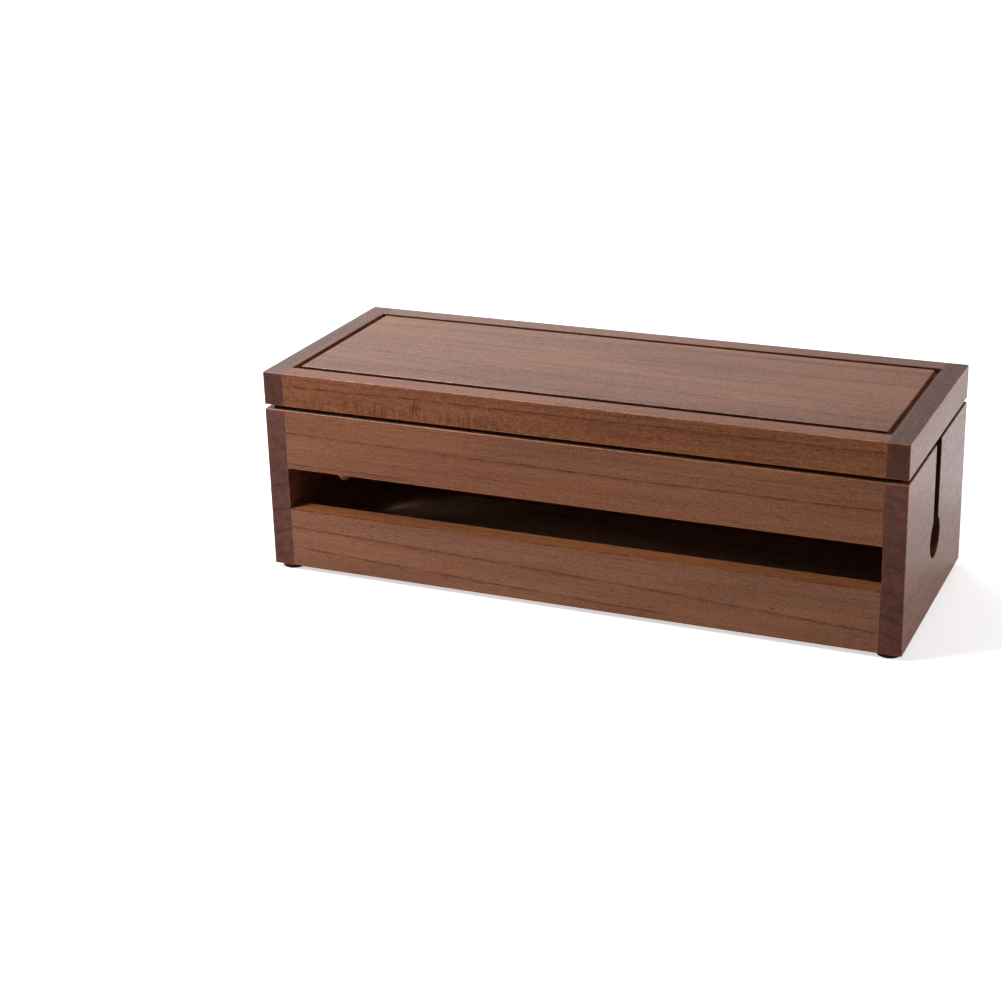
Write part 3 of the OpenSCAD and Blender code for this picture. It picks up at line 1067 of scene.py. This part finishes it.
@dataclass
class Case:
    """The open box: two end boards with keyholes, two front rails and a back board.

    Args:
        shoulder: the level of the walls' shoulder.
        lip_inset: how far the locating lip stands in from the outside.
        floor_top: the level of the floor panel's top, which is also its rebate's.
        rebate: how far the rebate reaches into the walls.
        hole_centre: the level of the keyhole's round hole.
        hole_radius: that hole's radius.
        hole_sides: how many sides its circle has.
        slot_width: the width of the keyhole's slot.
        tool_reach: how far the keyhole's tools reach to each side.
        arris: the radius of the eased arrises.
        body: the body that the boards ride on.
    """

    shoulder: float = 100.0 * MM
    lip_inset: float = 4.0 * MM
    floor_top: float = 6.0 * MM
    rebate: float = 6.0 * MM
    hole_centre: float = 44.0 * MM
    hole_radius: float = 12.0 * MM
    hole_sides: int = 96
    slot_width: float = 12.5 * MM
    tool_reach: float = 15.0 * MM
    arris: float = 0.75 * MM
    body: str = "box"

    def build(self) -> None:
        """Builds and dresses the five boards."""
        tool = self.floor_tool()
        self.end_board(-1, tool)
        self.end_board(1, tool)
        self.lower_rail(tool)
        self.upper_rail()
        self.back_board(tool)
        Bench.scrap(tool)

    def floor_tool(self) -> Piece:
        """Makes the block that cuts the rebate for the floor panel."""
        inner_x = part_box("front_lower_rail")[1].x
        inner_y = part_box("back_board")[0].y
        reach = Vector((inner_x + self.rebate, inner_y + self.rebate, self.floor_top))
        low = Vector((-reach.x, -reach.y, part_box("left_end_board")[0].z - OVERSHOOT))
        return Bench.stock("floor_tool", low, reach)

    def end_board(self, side: int, tool: Piece) -> None:
        """Builds an end board with its lip, its rebate and its keyhole.

        Args:
            side: -1 for the left one and 1 for the right one.
            tool: the block that cuts the rebate.
        """
        name = "left_end_board" if side < 0 else "right_end_board"
        low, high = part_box(name)
        piece = Bench.stock(f"{name}_wood", low, Vector((high.x, high.y, self.shoulder)))
        outer_x = max(abs(low.x), abs(high.x)) - self.lip_inset
        outer_y = high.y - self.lip_inset
        Bench.score(piece, X, side * outer_x)
        Bench.score(piece, Y, outer_y, -outer_y)

        def in_lip(at: Vector, way: Vector) -> bool:
            """Finds the part of the top that the lip stands on."""
            return way.z > SQUARE_ON and abs(at.x) < outer_x and abs(at.y) < outer_y

        with Bench.editing(piece, in_lip):
            Bench.lift_selected(high.z - self.shoulder)
        centre = Vector(((low.x + high.x) / 2, 0, self.hole_centre))
        reach = Vector((self.tool_reach, self.slot_width / 2, 0))
        hole = Bench.rod("hole_tool", centre, self.hole_radius, 2 * self.tool_reach, X, self.hole_sides)
        slot = Bench.stock("slot_tool", centre - reach, centre + reach + Z * high.z)
        Bench.cut(piece, tool, hole, slot)
        Bench.scrap(hole, slot)
        Bench.tidy(piece)

        def share(at: Vector, way: Vector) -> float:
            """Eases the shoulder's arris most, and not the one inside the floor's rebate."""
            if at.z < low.z + NEAR and abs(at.y) < high.y - 2 * NEAR and abs(at.x) < outer_x:
                return Ease.NONE
            return Ease.FULL if abs(at.z - self.shoulder) < NEAR else Ease.HALF

        inner_x = min(abs(low.x), abs(high.x)) + NEAR / 2

        def recess(at: Vector, way: Vector) -> float:
            """Gives painted shade to the keyhole's own faces, the gap under the lid and the inside."""
            if abs(at.y) < self.hole_radius + 0.2 * MM and abs(way.x) < EDGE_ON and at.z > 20 * MM:
                return Shade.HOLE if at.z < self.hole_centre + 0.6 * self.hole_radius else Shade.SLOT
            return Shade.END_INNER if abs(at.x) < inner_x else self.gap_shade(at, way)

        Bench.plane(piece, self.arris, share, recess)
        left_lines = (
            Line(30.0, 0.16, 4.0, strength=0.5, width=0.6),
            Line(58.0, 0.1, 3.0, strength=0.35, width=0.5),
            Line(82.0, 0.13, 0.0, strength=0.4, width=0.5),
        )
        right_lines = (
            Line(73.0, -0.1, 5.0, strength=0.42, width=0.5),
            Line(50.0, -0.14, 3.0, strength=0.45, width=0.6),
            Line(26.0, -0.08, 6.0, strength=0.4, width=0.5),
        )
        board = StainedBoard(
            f"{name} walnut",
            Lay.SHORT_UPRIGHT,
            END_TONES,
            shift=(0.31 * side, 0.17, 0.5 + 0.2 * side),
            pith=(-70.0, 150.0 * side),
            spacing=7.0,
            slope=-0.1,
            rings=0.8,
            contrast=1.7,
            roughness=0.3,
            coat=0.66,
            tooth=0.8,
            gloss=0.14,
            lines=left_lines if side < 0 else right_lines,
            rub=0.8,
        )
        dress(piece, board.make(), self.body, "walnut_end", name)

    def lower_rail(self, tool: Piece) -> None:
        """Builds the rail below the front slot, with the block that cuts its rebate."""
        low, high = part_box("front_lower_rail")
        piece = Bench.stock("front_lower_rail_wood", low, high)
        Bench.cut(piece, tool)
        Bench.tidy(piece)
        share = self.long_share(lambda at: at.z > self.floor_top or at.y < low.y + NEAR)
        Bench.plane(piece, self.arris, share, self.long_shade(1, gap=False))
        board = StainedBoard(
            "lower rail walnut",
            Lay.LONG_UPRIGHT,
            LOWER_TONES,
            shift=(0.42, 0.11, 0.23),
            pith=(-160.0, 45.0),
            spacing=8.0,
            lines=(
                Line(22.0, -0.036, -2.5, strength=0.95, width=0.55),
                Line(8.6, -0.03, 3.5, stop=45.0, strength=0.9, width=0.6),
                Line(31.0, -0.022, 0.0, start=-60.0, stop=90.0, strength=0.25, width=0.5),
                Line(15.0, -0.03, 1.0, start=-150.0, stop=20.0, strength=0.22, width=0.5),
            ),
            rub=1.7,
            arris_coat=-0.03,
            arris_rough=0.4,
            # Painted light: the rail's top face is tinted lighter, as if lit from the front above.
            upper=(1.24, 1.22, 0.98),
            # Painted shade: darker towards the right end.
            fall=1.0,
        )
        dress(piece, board.make(), self.body, "walnut_rail", "front_lower_rail")

    def upper_rail(self) -> None:
        """Builds the rail above the front slot, with its part of the lip."""
        piece = self.lipped("front_upper_rail", -1)
        Bench.tidy(piece)
        Bench.plane(piece, self.arris, self.long_share(lambda at: True), self.long_shade(1))
        board = StainedBoard(
            "upper rail walnut",
            Lay.LONG_UPRIGHT,
            UPPER_TONES,
            shift=(0.15, 0.55, 0.37),
            pith=(260.0, 40.0),
            spacing=8.0,
            slope=0.004,
            lines=(
                Line(83.9, -0.006, 2.9, strength=1.0, width=0.55),
                Line(65.9, -0.004, 0.0, stop=-108.0, strength=0.9, width=0.6),
                Line(94.0, -0.003, 0.0, strength=0.16, width=0.5),
                Line(73.0, 0.004, 0.0, start=-90.0, stop=120.0, strength=0.2, width=0.5),
            ),
            rub=0.45,
            arris_coat=0.03,
            gloss=0.24,
            # Painted shade: darker towards the right end.
            fall=2.0,
        )
        dress(piece, board.make(), self.body, "walnut_rail", "front_upper_rail")

    def back_board(self, tool: Piece) -> None:
        """Builds the closed back with its part of the lip, with the block that cuts its rebate."""
        piece = self.lipped("back_board", 1)
        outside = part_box("back_board")[1].y - NEAR
        Bench.cut(piece, tool)
        Bench.tidy(piece)
        share = self.long_share(lambda at: at.z > self.floor_top or at.y > outside)
        Bench.plane(piece, self.arris, share, self.long_shade(-1))
        board = StainedBoard(
            "back board walnut",
            Lay.LONG_UPRIGHT,
            shift=(0.9, 0.21, 0.64),
            pith=(52.0, -46.0),
            bend=42.0,
            slope=0.05,
            rings=1.1,
            lines=(Line(86.0, 0.012, -3.0, strength=0.6), Line(20.0, -0.02, 4.0, strength=0.7)),
        )
        dress(piece, board.make(), self.body, "walnut_rail", "back_board")

    def gap_shade(self, at: Vector, way: Vector) -> float:
        """Gives the painted shade of a face in the gap under the lid: its shoulder, and the lip behind it."""
        if way.z > 0.95 and abs(at.z - self.shoulder) < NEAR / 10:
            return Shade.SHOULDER
        return Shade.LIP if at.z > self.shoulder and abs(way.z) < EDGE_ON else Shade.OPEN

    def long_shade(self, inward: int, gap: bool = True) -> Weigh:
        """Gives the painted shade of a long board's faces.

        Args:
            inward: 1 if its inner face looks to the back, and -1 if it looks to the front.
            gap: True for a board that reaches up to the gap under the lid.

        Returns:
            The painted shade of each face.
        """

        def shade(at: Vector, way: Vector) -> float:
            """Gives one face's painted shade."""
            if inward * way.y > SQUARE_ON:
                return Shade.INNER
            return self.gap_shade(at, way) if gap else Shade.OPEN

        return shade

    def long_share(self, eased: Callable[[Vector], bool]) -> Weigh:
        """Gives the easing of a long board's arrises: most at the shoulder, least at the butted ends.

        Args:
            eased: takes the middle of an arris, and says whether it is eased at all.

        Returns:
            The share of a full rounding for each arris.
        """

        def share(at: Vector, way: Vector) -> float:
            """Gives one arris's share."""
            if abs(way.x) < 0.5:
                return Ease.BUTTED
            if not eased(at):
                return Ease.NONE
            return Ease.FULL if abs(at.z - self.shoulder) < NEAR else Ease.LONG

        return share

    def lipped(self, name: str, side: int) -> Piece:
        """Saws a long board to the shoulder and raises its lip.

        Args:
            name: the CAD node that it stands for.
            side: -1 on the front and 1 on the back.

        Returns:
            The board.
        """
        low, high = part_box(name)
        piece = Bench.stock(f"{name}_wood", low, Vector((high.x, high.y, self.shoulder)))
        lip_y = (low if side < 0 else high).y - side * self.lip_inset
        Bench.score(piece, Y, lip_y)
        with Bench.editing(piece, lambda at, way: way.z > SQUARE_ON and side * at.y < side * lip_y):
            Bench.lift_selected(high.z - self.shoulder)
        return piece


@dataclass
class Lid:
    """The framed lid: four rails with a hollow for the lip, and a panel on a tongue.

    Args:
        skirt: the thickness of the skirt that drops over the lip.
        lip_top: the level of the hollow's ceiling, which rests on the lip.
        tongue_top: the level of the top of the panel's tongue.
        tongue_fit: the tongue's play in its groove.
        reveal: how far the panel's face stands back from the rails.
        front_reveal: the same at the front, where it is a little wider.
        arris: the radius of the eased arrises.
        body: the body that the rails and the panel ride on.
        tools: the blocks that cut the rails.
    """

    skirt: float = 3.7 * MM
    lip_top: float = 106.0 * MM
    tongue_top: float = 119.0 * MM
    tongue_fit: float = 0.2 * MM
    reveal: float = 3.8 * MM
    front_reveal: float = 4.4 * MM
    arris: float = 0.4 * MM
    body: str = "lid"
    tools: list[Piece] = field(default_factory=list)

    def build(self) -> None:
        """Builds and dresses the rails and the panel."""
        self.tools += [self.skirt_tool(), self.groove_tool()]
        self.end_rail(-1)
        self.end_rail(1)
        self.front_rail()
        self.back_rail()
        self.panel()
        Bench.scrap(*self.tools)

    def skirt_tool(self) -> Piece:
        """Makes the block that hollows the rails for the lip."""
        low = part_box("lid_left_rail")[0]
        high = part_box("lid_right_rail")[1]
        skirt = Vector((self.skirt, self.skirt, -OVERSHOOT))
        top = Vector((high.x - self.skirt, high.y - self.skirt, self.lip_top))
        return Bench.stock("skirt_tool", low + skirt, top)

    def groove_tool(self) -> Piece:
        """Makes the block that grooves the rails for the panel's tongue."""
        low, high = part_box("lid_panel")
        play = Vector((self.tongue_fit, self.tongue_fit, 0.0))
        top = Vector((high.x, high.y, self.tongue_top + self.tongue_fit))
        return Bench.stock("groove_tool", low - play, top + play)

    def hollowed(self, name: str, square_ends: bool) -> Piece:
        """Saws a rail and hollows it.

        Args:
            name: the CAD node that it stands for.
            square_ends: True for a rail whose ends butt against others.

        Returns:
            The finished rail.
        """
        low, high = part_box(name)
        piece = Bench.stock(f"{name}_wood", low, high)
        Bench.cut(piece, *self.tools)
        Bench.tidy(piece)
        across = 1 if square_ends else 0
        inner = min(abs(low[across]), abs(high[across])) + NEAR / 2

        def share(at: Vector, way: Vector) -> float:
            """Keeps the butted ends and the edge of the reveal crisp."""
            crisp = abs(at[across]) < inner or (square_ends and abs(way.x) < 0.5)
            return Ease.HALF if crisp else Ease.FULL

        def recess(at: Vector, way: Vector) -> float:
            """Gives painted shade to the reveal round the panel, and to the hollow."""
            if abs(at[across]) < inner and abs(way.z) < EDGE_ON and at.z > self.tongue_top - NEAR:
                return Shade.LONG_REVEAL if square_ends else Shade.END_REVEAL
            hollow = at.z < self.lip_top + NEAR / 10 and abs(at[across]) < inner + self.skirt
            return Shade.HOLLOW if hollow else Shade.OPEN

        Bench.plane(piece, self.arris, share, recess)
        return piece

    def end_rail(self, side: int) -> None:
        """Builds an end rail, which runs the full depth: -1 is the left one and 1 the right one."""
        name = "lid_left_rail" if side < 0 else "lid_right_rail"
        board = StainedBoard(
            f"{name} walnut",
            Lay.SHORT_FLAT,
            LID_END_TONES,
            shift=(0.6 * side, 0.27, 0.8),
            pith=(90.0 * side, 190.0),
            spacing=6.0,
            slope=0.03,
            rings=0.5,
            contrast=1.7,
            roughness=0.34,
            coat=0.62,
            tooth=0.7,
            top_coat=-0.37 if side < 0 else -0.27,
            gloss=0.14,
            # Painted shade: the top of each lid end rail is tinted darker, the right one most.
            upper=(0.54, 0.53, 0.58) if side < 0 else (0.35, 0.32, 0.39),
            rub=0.7,
        )
        dress(self.hollowed(name, square_ends=False), board.make(), self.body, "walnut_end", name)

    def front_rail(self) -> None:
        """Builds the front rail, with its patch of curl."""
        board = StainedBoard(
            "lid front rail walnut",
            Lay.LONG_UPRIGHT,
            UPPER_TONES,
            shift=(0.05, 0.83, 0.46),
            pith=(300.0, 60.0),
            spacing=7.0,
            slope=0.006,
            wave=1.1,
            lines=(
                Line(115.4, 0.006, 1.0, strength=0.85, width=0.6),
                Line(119.6, 0.003, 0.0, strength=0.3, width=0.7),
                Line(108.0, 0.01, 0.0, start=30.0, stop=150.0, strength=0.25, width=0.5),
            ),
            curl=Curl((-106.0, 105.0), (108.0, 7.5), (-91.5, 109.8)),
            rub=0.9,
            gloss=0.1,
            top_coat=0.36,
            # Painted light: the top face is tinted a little lighter.
            upper=(1.04, 1.02, 1.0),
            # Painted shade: darker towards the right end.
            fall=1.2,
        )
        piece = self.hollowed("lid_front_rail", square_ends=True)
        dress(piece, board.make(), self.body, "walnut_rail", "lid_front_rail")

    def back_rail(self) -> None:
        """Builds the back rail."""
        board = StainedBoard(
            "lid back rail walnut",
            Lay.LONG_UPRIGHT,
            shift=(0.77, 0.35, 0.12),
            pith=(-220.0, 70.0),
            spacing=7.0,
            top_coat=0.3,
            # Painted shade: the top face is tinted a little darker and cooler.
            upper=(0.85, 0.86, 0.92),
            lines=(Line(111.0, 0.004, -1.5, strength=0.6),),
        )
        piece = self.hollowed("lid_back_rail", square_ends=True)
        dress(piece, board.make(), self.body, "walnut_rail", "lid_back_rail")

    def panel(self) -> None:
        """Builds the panel: a tongue all round, and a field that stands level with the rails."""
        low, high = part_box("lid_panel")
        piece = Bench.stock("lid_panel_wood", low, Vector((high.x, high.y, self.tongue_top)))
        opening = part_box("lid_front_rail")[1].x
        with Bench.editing(piece, lambda at, way: way.z > SQUARE_ON):
            bpy.ops.mesh.inset(thickness=high.x - opening + self.reveal)
            Bench.lift_selected(high.z - self.tongue_top)
        with Bench.editing(piece, lambda at, way: way.y < -SQUARE_ON and at.z > self.tongue_top):
            bpy.ops.transform.translate(value=(0.0, self.front_reveal - self.reveal, 0.0))
        field_foot = self.tongue_top + NEAR

        def recess(at: Vector, way: Vector) -> float:
            """Gives painted shade to the reveal along the panel's field; its two ends stay open to the light.
            """
            return Shade.DEEP if at.z >= field_foot and abs(way.z) <= 0.5 < abs(way.y) else Shade.OPEN

        def share(at: Vector, way: Vector) -> float:
            """Eases the field's arrises more than the tongue's."""
            return Ease.FIELD if at.z > field_foot else Ease.HALF

        Bench.plane(piece, self.arris, share, recess)
        board = StainedBoard(
            "lid panel walnut",
            Lay.LONG_FLAT,
            PANEL_TONES,
            shift=(0.2, 0.48, 0.71),
            pith=(-40.0, -210.0),
            spacing=8.0,
            bend=24.0,
            slope=-0.03,
            wave=0.8,
            rings=0.5,
            contrast=1.05,
            roughness=0.4,
            coat=0.12,
            gloss=0.44,
            lines=(
                Line(44.6, 0.026, -8.0, strength=0.75, width=1.5),
                Line(19.6, 0.013, 0.0, strength=0.65, width=1.1),
                Line(12.6, 0.016, 0.0, stop=80.0, strength=0.5, width=0.8),
                Line(-6.2, -0.076, -1.5, stop=160.0, strength=0.75, width=0.8),
                Line(-25.4, -0.087, -1.0, strength=0.95, width=0.85),
                Line(-48.3, -0.085, 4.3, strength=0.95, width=0.8),
                Line(4.7, -0.067, 0.0, start=16.0, strength=0.65, width=0.8),
                Line(3.6, 0.0, 0.0, start=92.0, strength=0.5, width=0.8),
            ),
            rub=0.9,
            arris_coat=0.5,
            # Painted shade: darker towards the right end, and much darker towards the front.
            fall=0.8,
            shade_slope_across=-8.0,
        )
        dress(piece, board.make(), self.body, "walnut_panel", "lid_panel")


@dataclass
class Feet:
    """Four moulded rubber feet with a rounded tread and a shallow dimple underneath.

    Args:
        tread: the radius of the rounded lower edge.
        rim: how far the dimple stands in from the side.
        dimple: the dimple's depth.
        taper: the size of the dimple's floor against its mouth.
        sides: how many sides the circle has.
        body: the body that the feet ride on.
    """

    tread: float = 0.9 * MM
    rim: float = 2.2 * MM
    dimple: float = 0.5 * MM
    taper: float = 0.86
    sides: int = 72
    body: str = "box"

    def build(self) -> None:
        """Moulds one foot and copies it to the four corners."""
        nodes = ("foot_front_left", "foot_front_right", "foot_back_left", "foot_back_right")
        rubber = Rubber().make()
        low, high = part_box(nodes[0])
        first = self.mould(low, high)
        for node in nodes:
            copy = first.copy()
            copy.data = first.data.copy()
            bpy.context.collection.objects.link(copy)
            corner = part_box(node)[0]
            copy.location = (corner.x - low.x, corner.y - low.y, 0.0)
            dress(Bench.settle(copy, f"{node}_rubber"), rubber, self.body, "foot_rubber", node)
        Bench.scrap(first)

    def mould(self, low: Vector, high: Vector) -> Piece:
        """Moulds a foot.

        Args:
            low: its lowest corner.
            high: its highest corner.

        Returns:
            The foot.
        """
        radius = (high.x - low.x) / 2
        centre = (low + high) / 2
        piece = Bench.rod("foot_pattern", centre, radius, high.z - low.z, Z, self.sides)
        with Bench.editing(piece, lambda at, way: way.z < -SQUARE_ON):
            bpy.ops.mesh.inset(thickness=self.rim)
            Bench.lift_selected(self.dimple)
            bpy.ops.transform.resize(value=(self.taper, self.taper, 1.0), center_override=centre)

        def share(at: Vector, way: Vector) -> float:
            """Rounds the tread most, and the dimple's rim and the top only a little."""
            outside = (at.xy - centre.xy).length > radius - self.rim / 2
            return Ease.FULL if outside and at.z < self.dimple else Ease.BUTTED

        Bench.ease(piece, self.tread, share, segments=4)
        Bench.polish(piece)
        return piece


@dataclass
class Hardware:
    """What the CAD already shapes: the floor panel, its screws and the dowels.

    Args:
        nodes: the CAD nodes by name.
    """

    nodes: dict[str, Piece]

    def dress(self) -> None:
        """Gives each node its finish; the beech is bare, with short flecks along the dowels."""
        beech = {"spacing": 2.5, "bend": 3.0, "rings": 0.5, "roughness": 0.6, "coat": 0.0}
        finishes = {
            "floor_panel": Plywood(),
            "floor_screws": PlatedSteel(),
            "box_dowels": StainedBoard("box dowel beech", Lay.LONG_FLAT, BEECH_TONES, **beech),
            "lid_dowels": StainedBoard("lid dowel beech", Lay.LONG_FLAT, BEECH_TONES, **beech),
        }
        for node, finish in finishes.items():
            material = finish.make()
            for slot in self.nodes[node].material_slots:
                slot.material = material
            LOG.info("%s keeps its CAD shape", node)


# ---------------------------------------------------------------- the studio


@dataclass(frozen=True)
class Lamp:
    """A soft square lamp.

    Args:
        name: its name.
        place: where it hangs, in metres.
        side: the length of its sides.
        power: its power in watts.
        mirrored: True if it shows in reflections.
    """

    name: str
    place: Triple
    side: float
    power: float
    mirrored: bool = True

    def hang(self, aim: Vector) -> None:
        """Hangs the lamp so that it shines at a point."""
        data = bpy.data.lights.new(self.name, "AREA")
        data.shape = "SQUARE"
        data.size = self.side
        data.energy = self.power
        lamp = bpy.data.objects.new(self.name, data)
        lamp.location = self.place
        lamp.rotation_mode = "QUATERNION"
        lamp.rotation_quaternion = (aim - lamp.location).to_track_quat("-Z", "Y")
        lamp.visible_camera = False
        lamp.visible_glossy = self.mirrored
        bpy.context.collection.objects.link(lamp)
        LOG.info("%s hangs at %s", self.name, self.place)


@dataclass(frozen=True)
class Camera:
    """A long lens, to the right of the front and a little above.

    Args:
        place: where it stands.
        right: where its picture's right side points.
        down: where its picture's lower side points.
        ahead: where it looks.
        focal: its focal length, in pixels.
        shift: how far its picture lies off its axis, in pixels.
        picture: its picture's width, in pixels.
        sensor: its sensor's width, in millimetres.
        reach: the nearest and the farthest thing that it sees, in metres.
    """

    place: Triple = (0.40271, -1.06148, 0.48387)
    right: Triple = (0.92184, 0.38698, -0.02157)
    down: Triple = (0.11667, -0.33013, -0.9367)
    ahead: Triple = (-0.3696, 0.86097, -0.34948)
    focal: float = 2082.1
    shift: tuple[float, float] = (-29.5, -30.5)
    picture: int = 1002
    sensor: float = 36.0
    reach: tuple[float, float] = (0.01, 60.0)

    def set_up(self) -> None:
        """Sets up the camera and makes it the scene's."""
        data = bpy.data.cameras.new("camera")
        data.sensor_fit = "HORIZONTAL"
        data.sensor_width = self.sensor
        data.lens = self.focal * self.sensor / self.picture
        data.shift_x, data.shift_y = (pixels / self.picture for pixels in self.shift)
        data.clip_start, data.clip_end = self.reach
        camera = bpy.data.objects.new("camera", data)
        turn = Matrix((Vector(self.right), -Vector(self.down), -Vector(self.ahead))).transposed().to_4x4()
        camera.matrix_world = Matrix.Translation(self.place) @ turn
        bpy.context.collection.objects.link(camera)
        bpy.context.scene.camera = camera


@dataclass
class Studio:
    """A white sweep of floor, soft lamps and the camera.

    Args:
        floor_side: the floor's side length.
        floor_tone: the floor's own tone.
        floor_glow: what the floor adds towards the camera near the box; far away it adds white.
        cool: the cool tint of the floor's painted reflection glow.
        ambient: the strength of the room's own light on matt surfaces.
        aim: the point that the lamps shine at.
        lamps: the lamps.
    """

    floor_side: float = 16.0
    floor_tone: float = 0.76
    floor_glow: float = 0.6
    cool: Triple = (0.92, 0.97, 1.1)
    ambient: float = 0.19
    aim: Vector = field(default_factory=lambda: Vector((0.0, 0.0, 0.07)))
    lamps: tuple[Lamp, ...] = (
        Lamp("key lamp", (-0.6, -0.55, 0.85), 0.3, 9.4),
        Lamp("left lamp", (-0.66, -0.43, 0.52), 0.4, 1.6),
        Lamp("top lamp", (-0.35, 0.6, 0.62), 0.5, 3.8, mirrored=False),
        Lamp("right lamp", (1.2, 0.1, 0.35), 0.5, 5.2, mirrored=False),
        Lamp("back lamp", (0.1, 1.3, 0.7), 0.6, 5.0, mirrored=False),
    )

    def build(self) -> None:
        """Lays the floor, lights the room and sets up the camera."""
        bpy.context.scene.view_settings.view_transform = "Standard"
        self.lay_floor()
        self.light_room()
        for lamp in self.lamps:
            lamp.hang(self.aim)
        Camera().set_up()

    def rays(self, graph: Graph) -> tuple[Socket, Socket]:
        """Returns 1 for a ray from the camera, and 1 for one that was mirrored or went through glass."""
        path = graph.node("LightPath").outputs
        mirrored = graph.math("ADD", path["Is Glossy Ray"], path["Is Transmission Ray"], clamp=True)
        return path["Is Camera Ray"], mirrored

    def lay_floor(self) -> None:
        """Lays the floor, which keeps the box's shadow."""
        bpy.ops.mesh.primitive_plane_add(size=self.floor_side, location=(0, 0, 0))
        floor = bpy.context.object
        floor.name = "studio_floor"
        material = bpy.data.materials.new("studio floor")
        graph = Graph.blank(material)
        matt = graph.node("BsdfDiffuse", inputs={"Color": (self.floor_tone,) * 3})
        away = graph.vector("LENGTH", graph.coordinate("Object"))
        camera, mirrored = self.rays(graph)
        # Painted reflection: in mirrored rays the floor glows, dim right beside the box and brighter away
        # from it, with a cool tint.
        shine = graph.times(graph.step(away, 0.2, 0.33, 0.0, 0.18), graph.step(away, 0.33, 0.8, 1.0, 0.5))
        strength = graph.total((camera, graph.step(away, 0.3, 1.3, self.floor_glow, 1.0)), (mirrored, shine))
        glow = {"Color": graph.blend(mirrored, WHITE, self.cool), "Strength": strength}
        glow = graph.node("Emission", inputs=glow)
        both = graph.node("AddShader", inputs={0: matt.outputs[0], 1: glow.outputs[0]})
        graph.node("OutputMaterial", inputs={"Surface": both.outputs[0]})
        floor.data.materials.append(material)

    def light_room(self) -> None:
        """Fills the room with plain light for matt surfaces, paints its reflections brighter on the left than
        on the right, and shows white beyond the floor.
        """
        world = bpy.data.worlds.new("studio room")
        bpy.context.scene.world = world
        graph = Graph.blank(world)
        camera, mirrored = self.rays(graph)
        # Painted reflection: in mirrored rays the room is brighter towards the left than towards the right.
        painted_reflection = graph.step(graph.parts(graph.coordinate("Generated"))[0], -0.56, 0.0, 1.2, 0.25)
        matt = graph.math("SUBTRACT", 1.0, graph.math("ADD", mirrored, camera, clamp=True))
        strength = graph.total((camera, 1.0), (mirrored, painted_reflection), (matt, self.ambient))
        room = graph.node("Background", inputs={"Color": WHITE, "Strength": strength})
        graph.node("OutputWorld", inputs={"Surface": room.outputs[0]})


def main() -> None:
    """Builds the studio and the box."""
    logging.basicConfig(level=logging.INFO, format="%(name)s: %(message)s")
    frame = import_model()
    Studio().build()
    Case().build()
    Lid().build()
    Feet().build()
    Hardware(frame["nodes"]).dress()


if __name__ == "__main__":
    main()
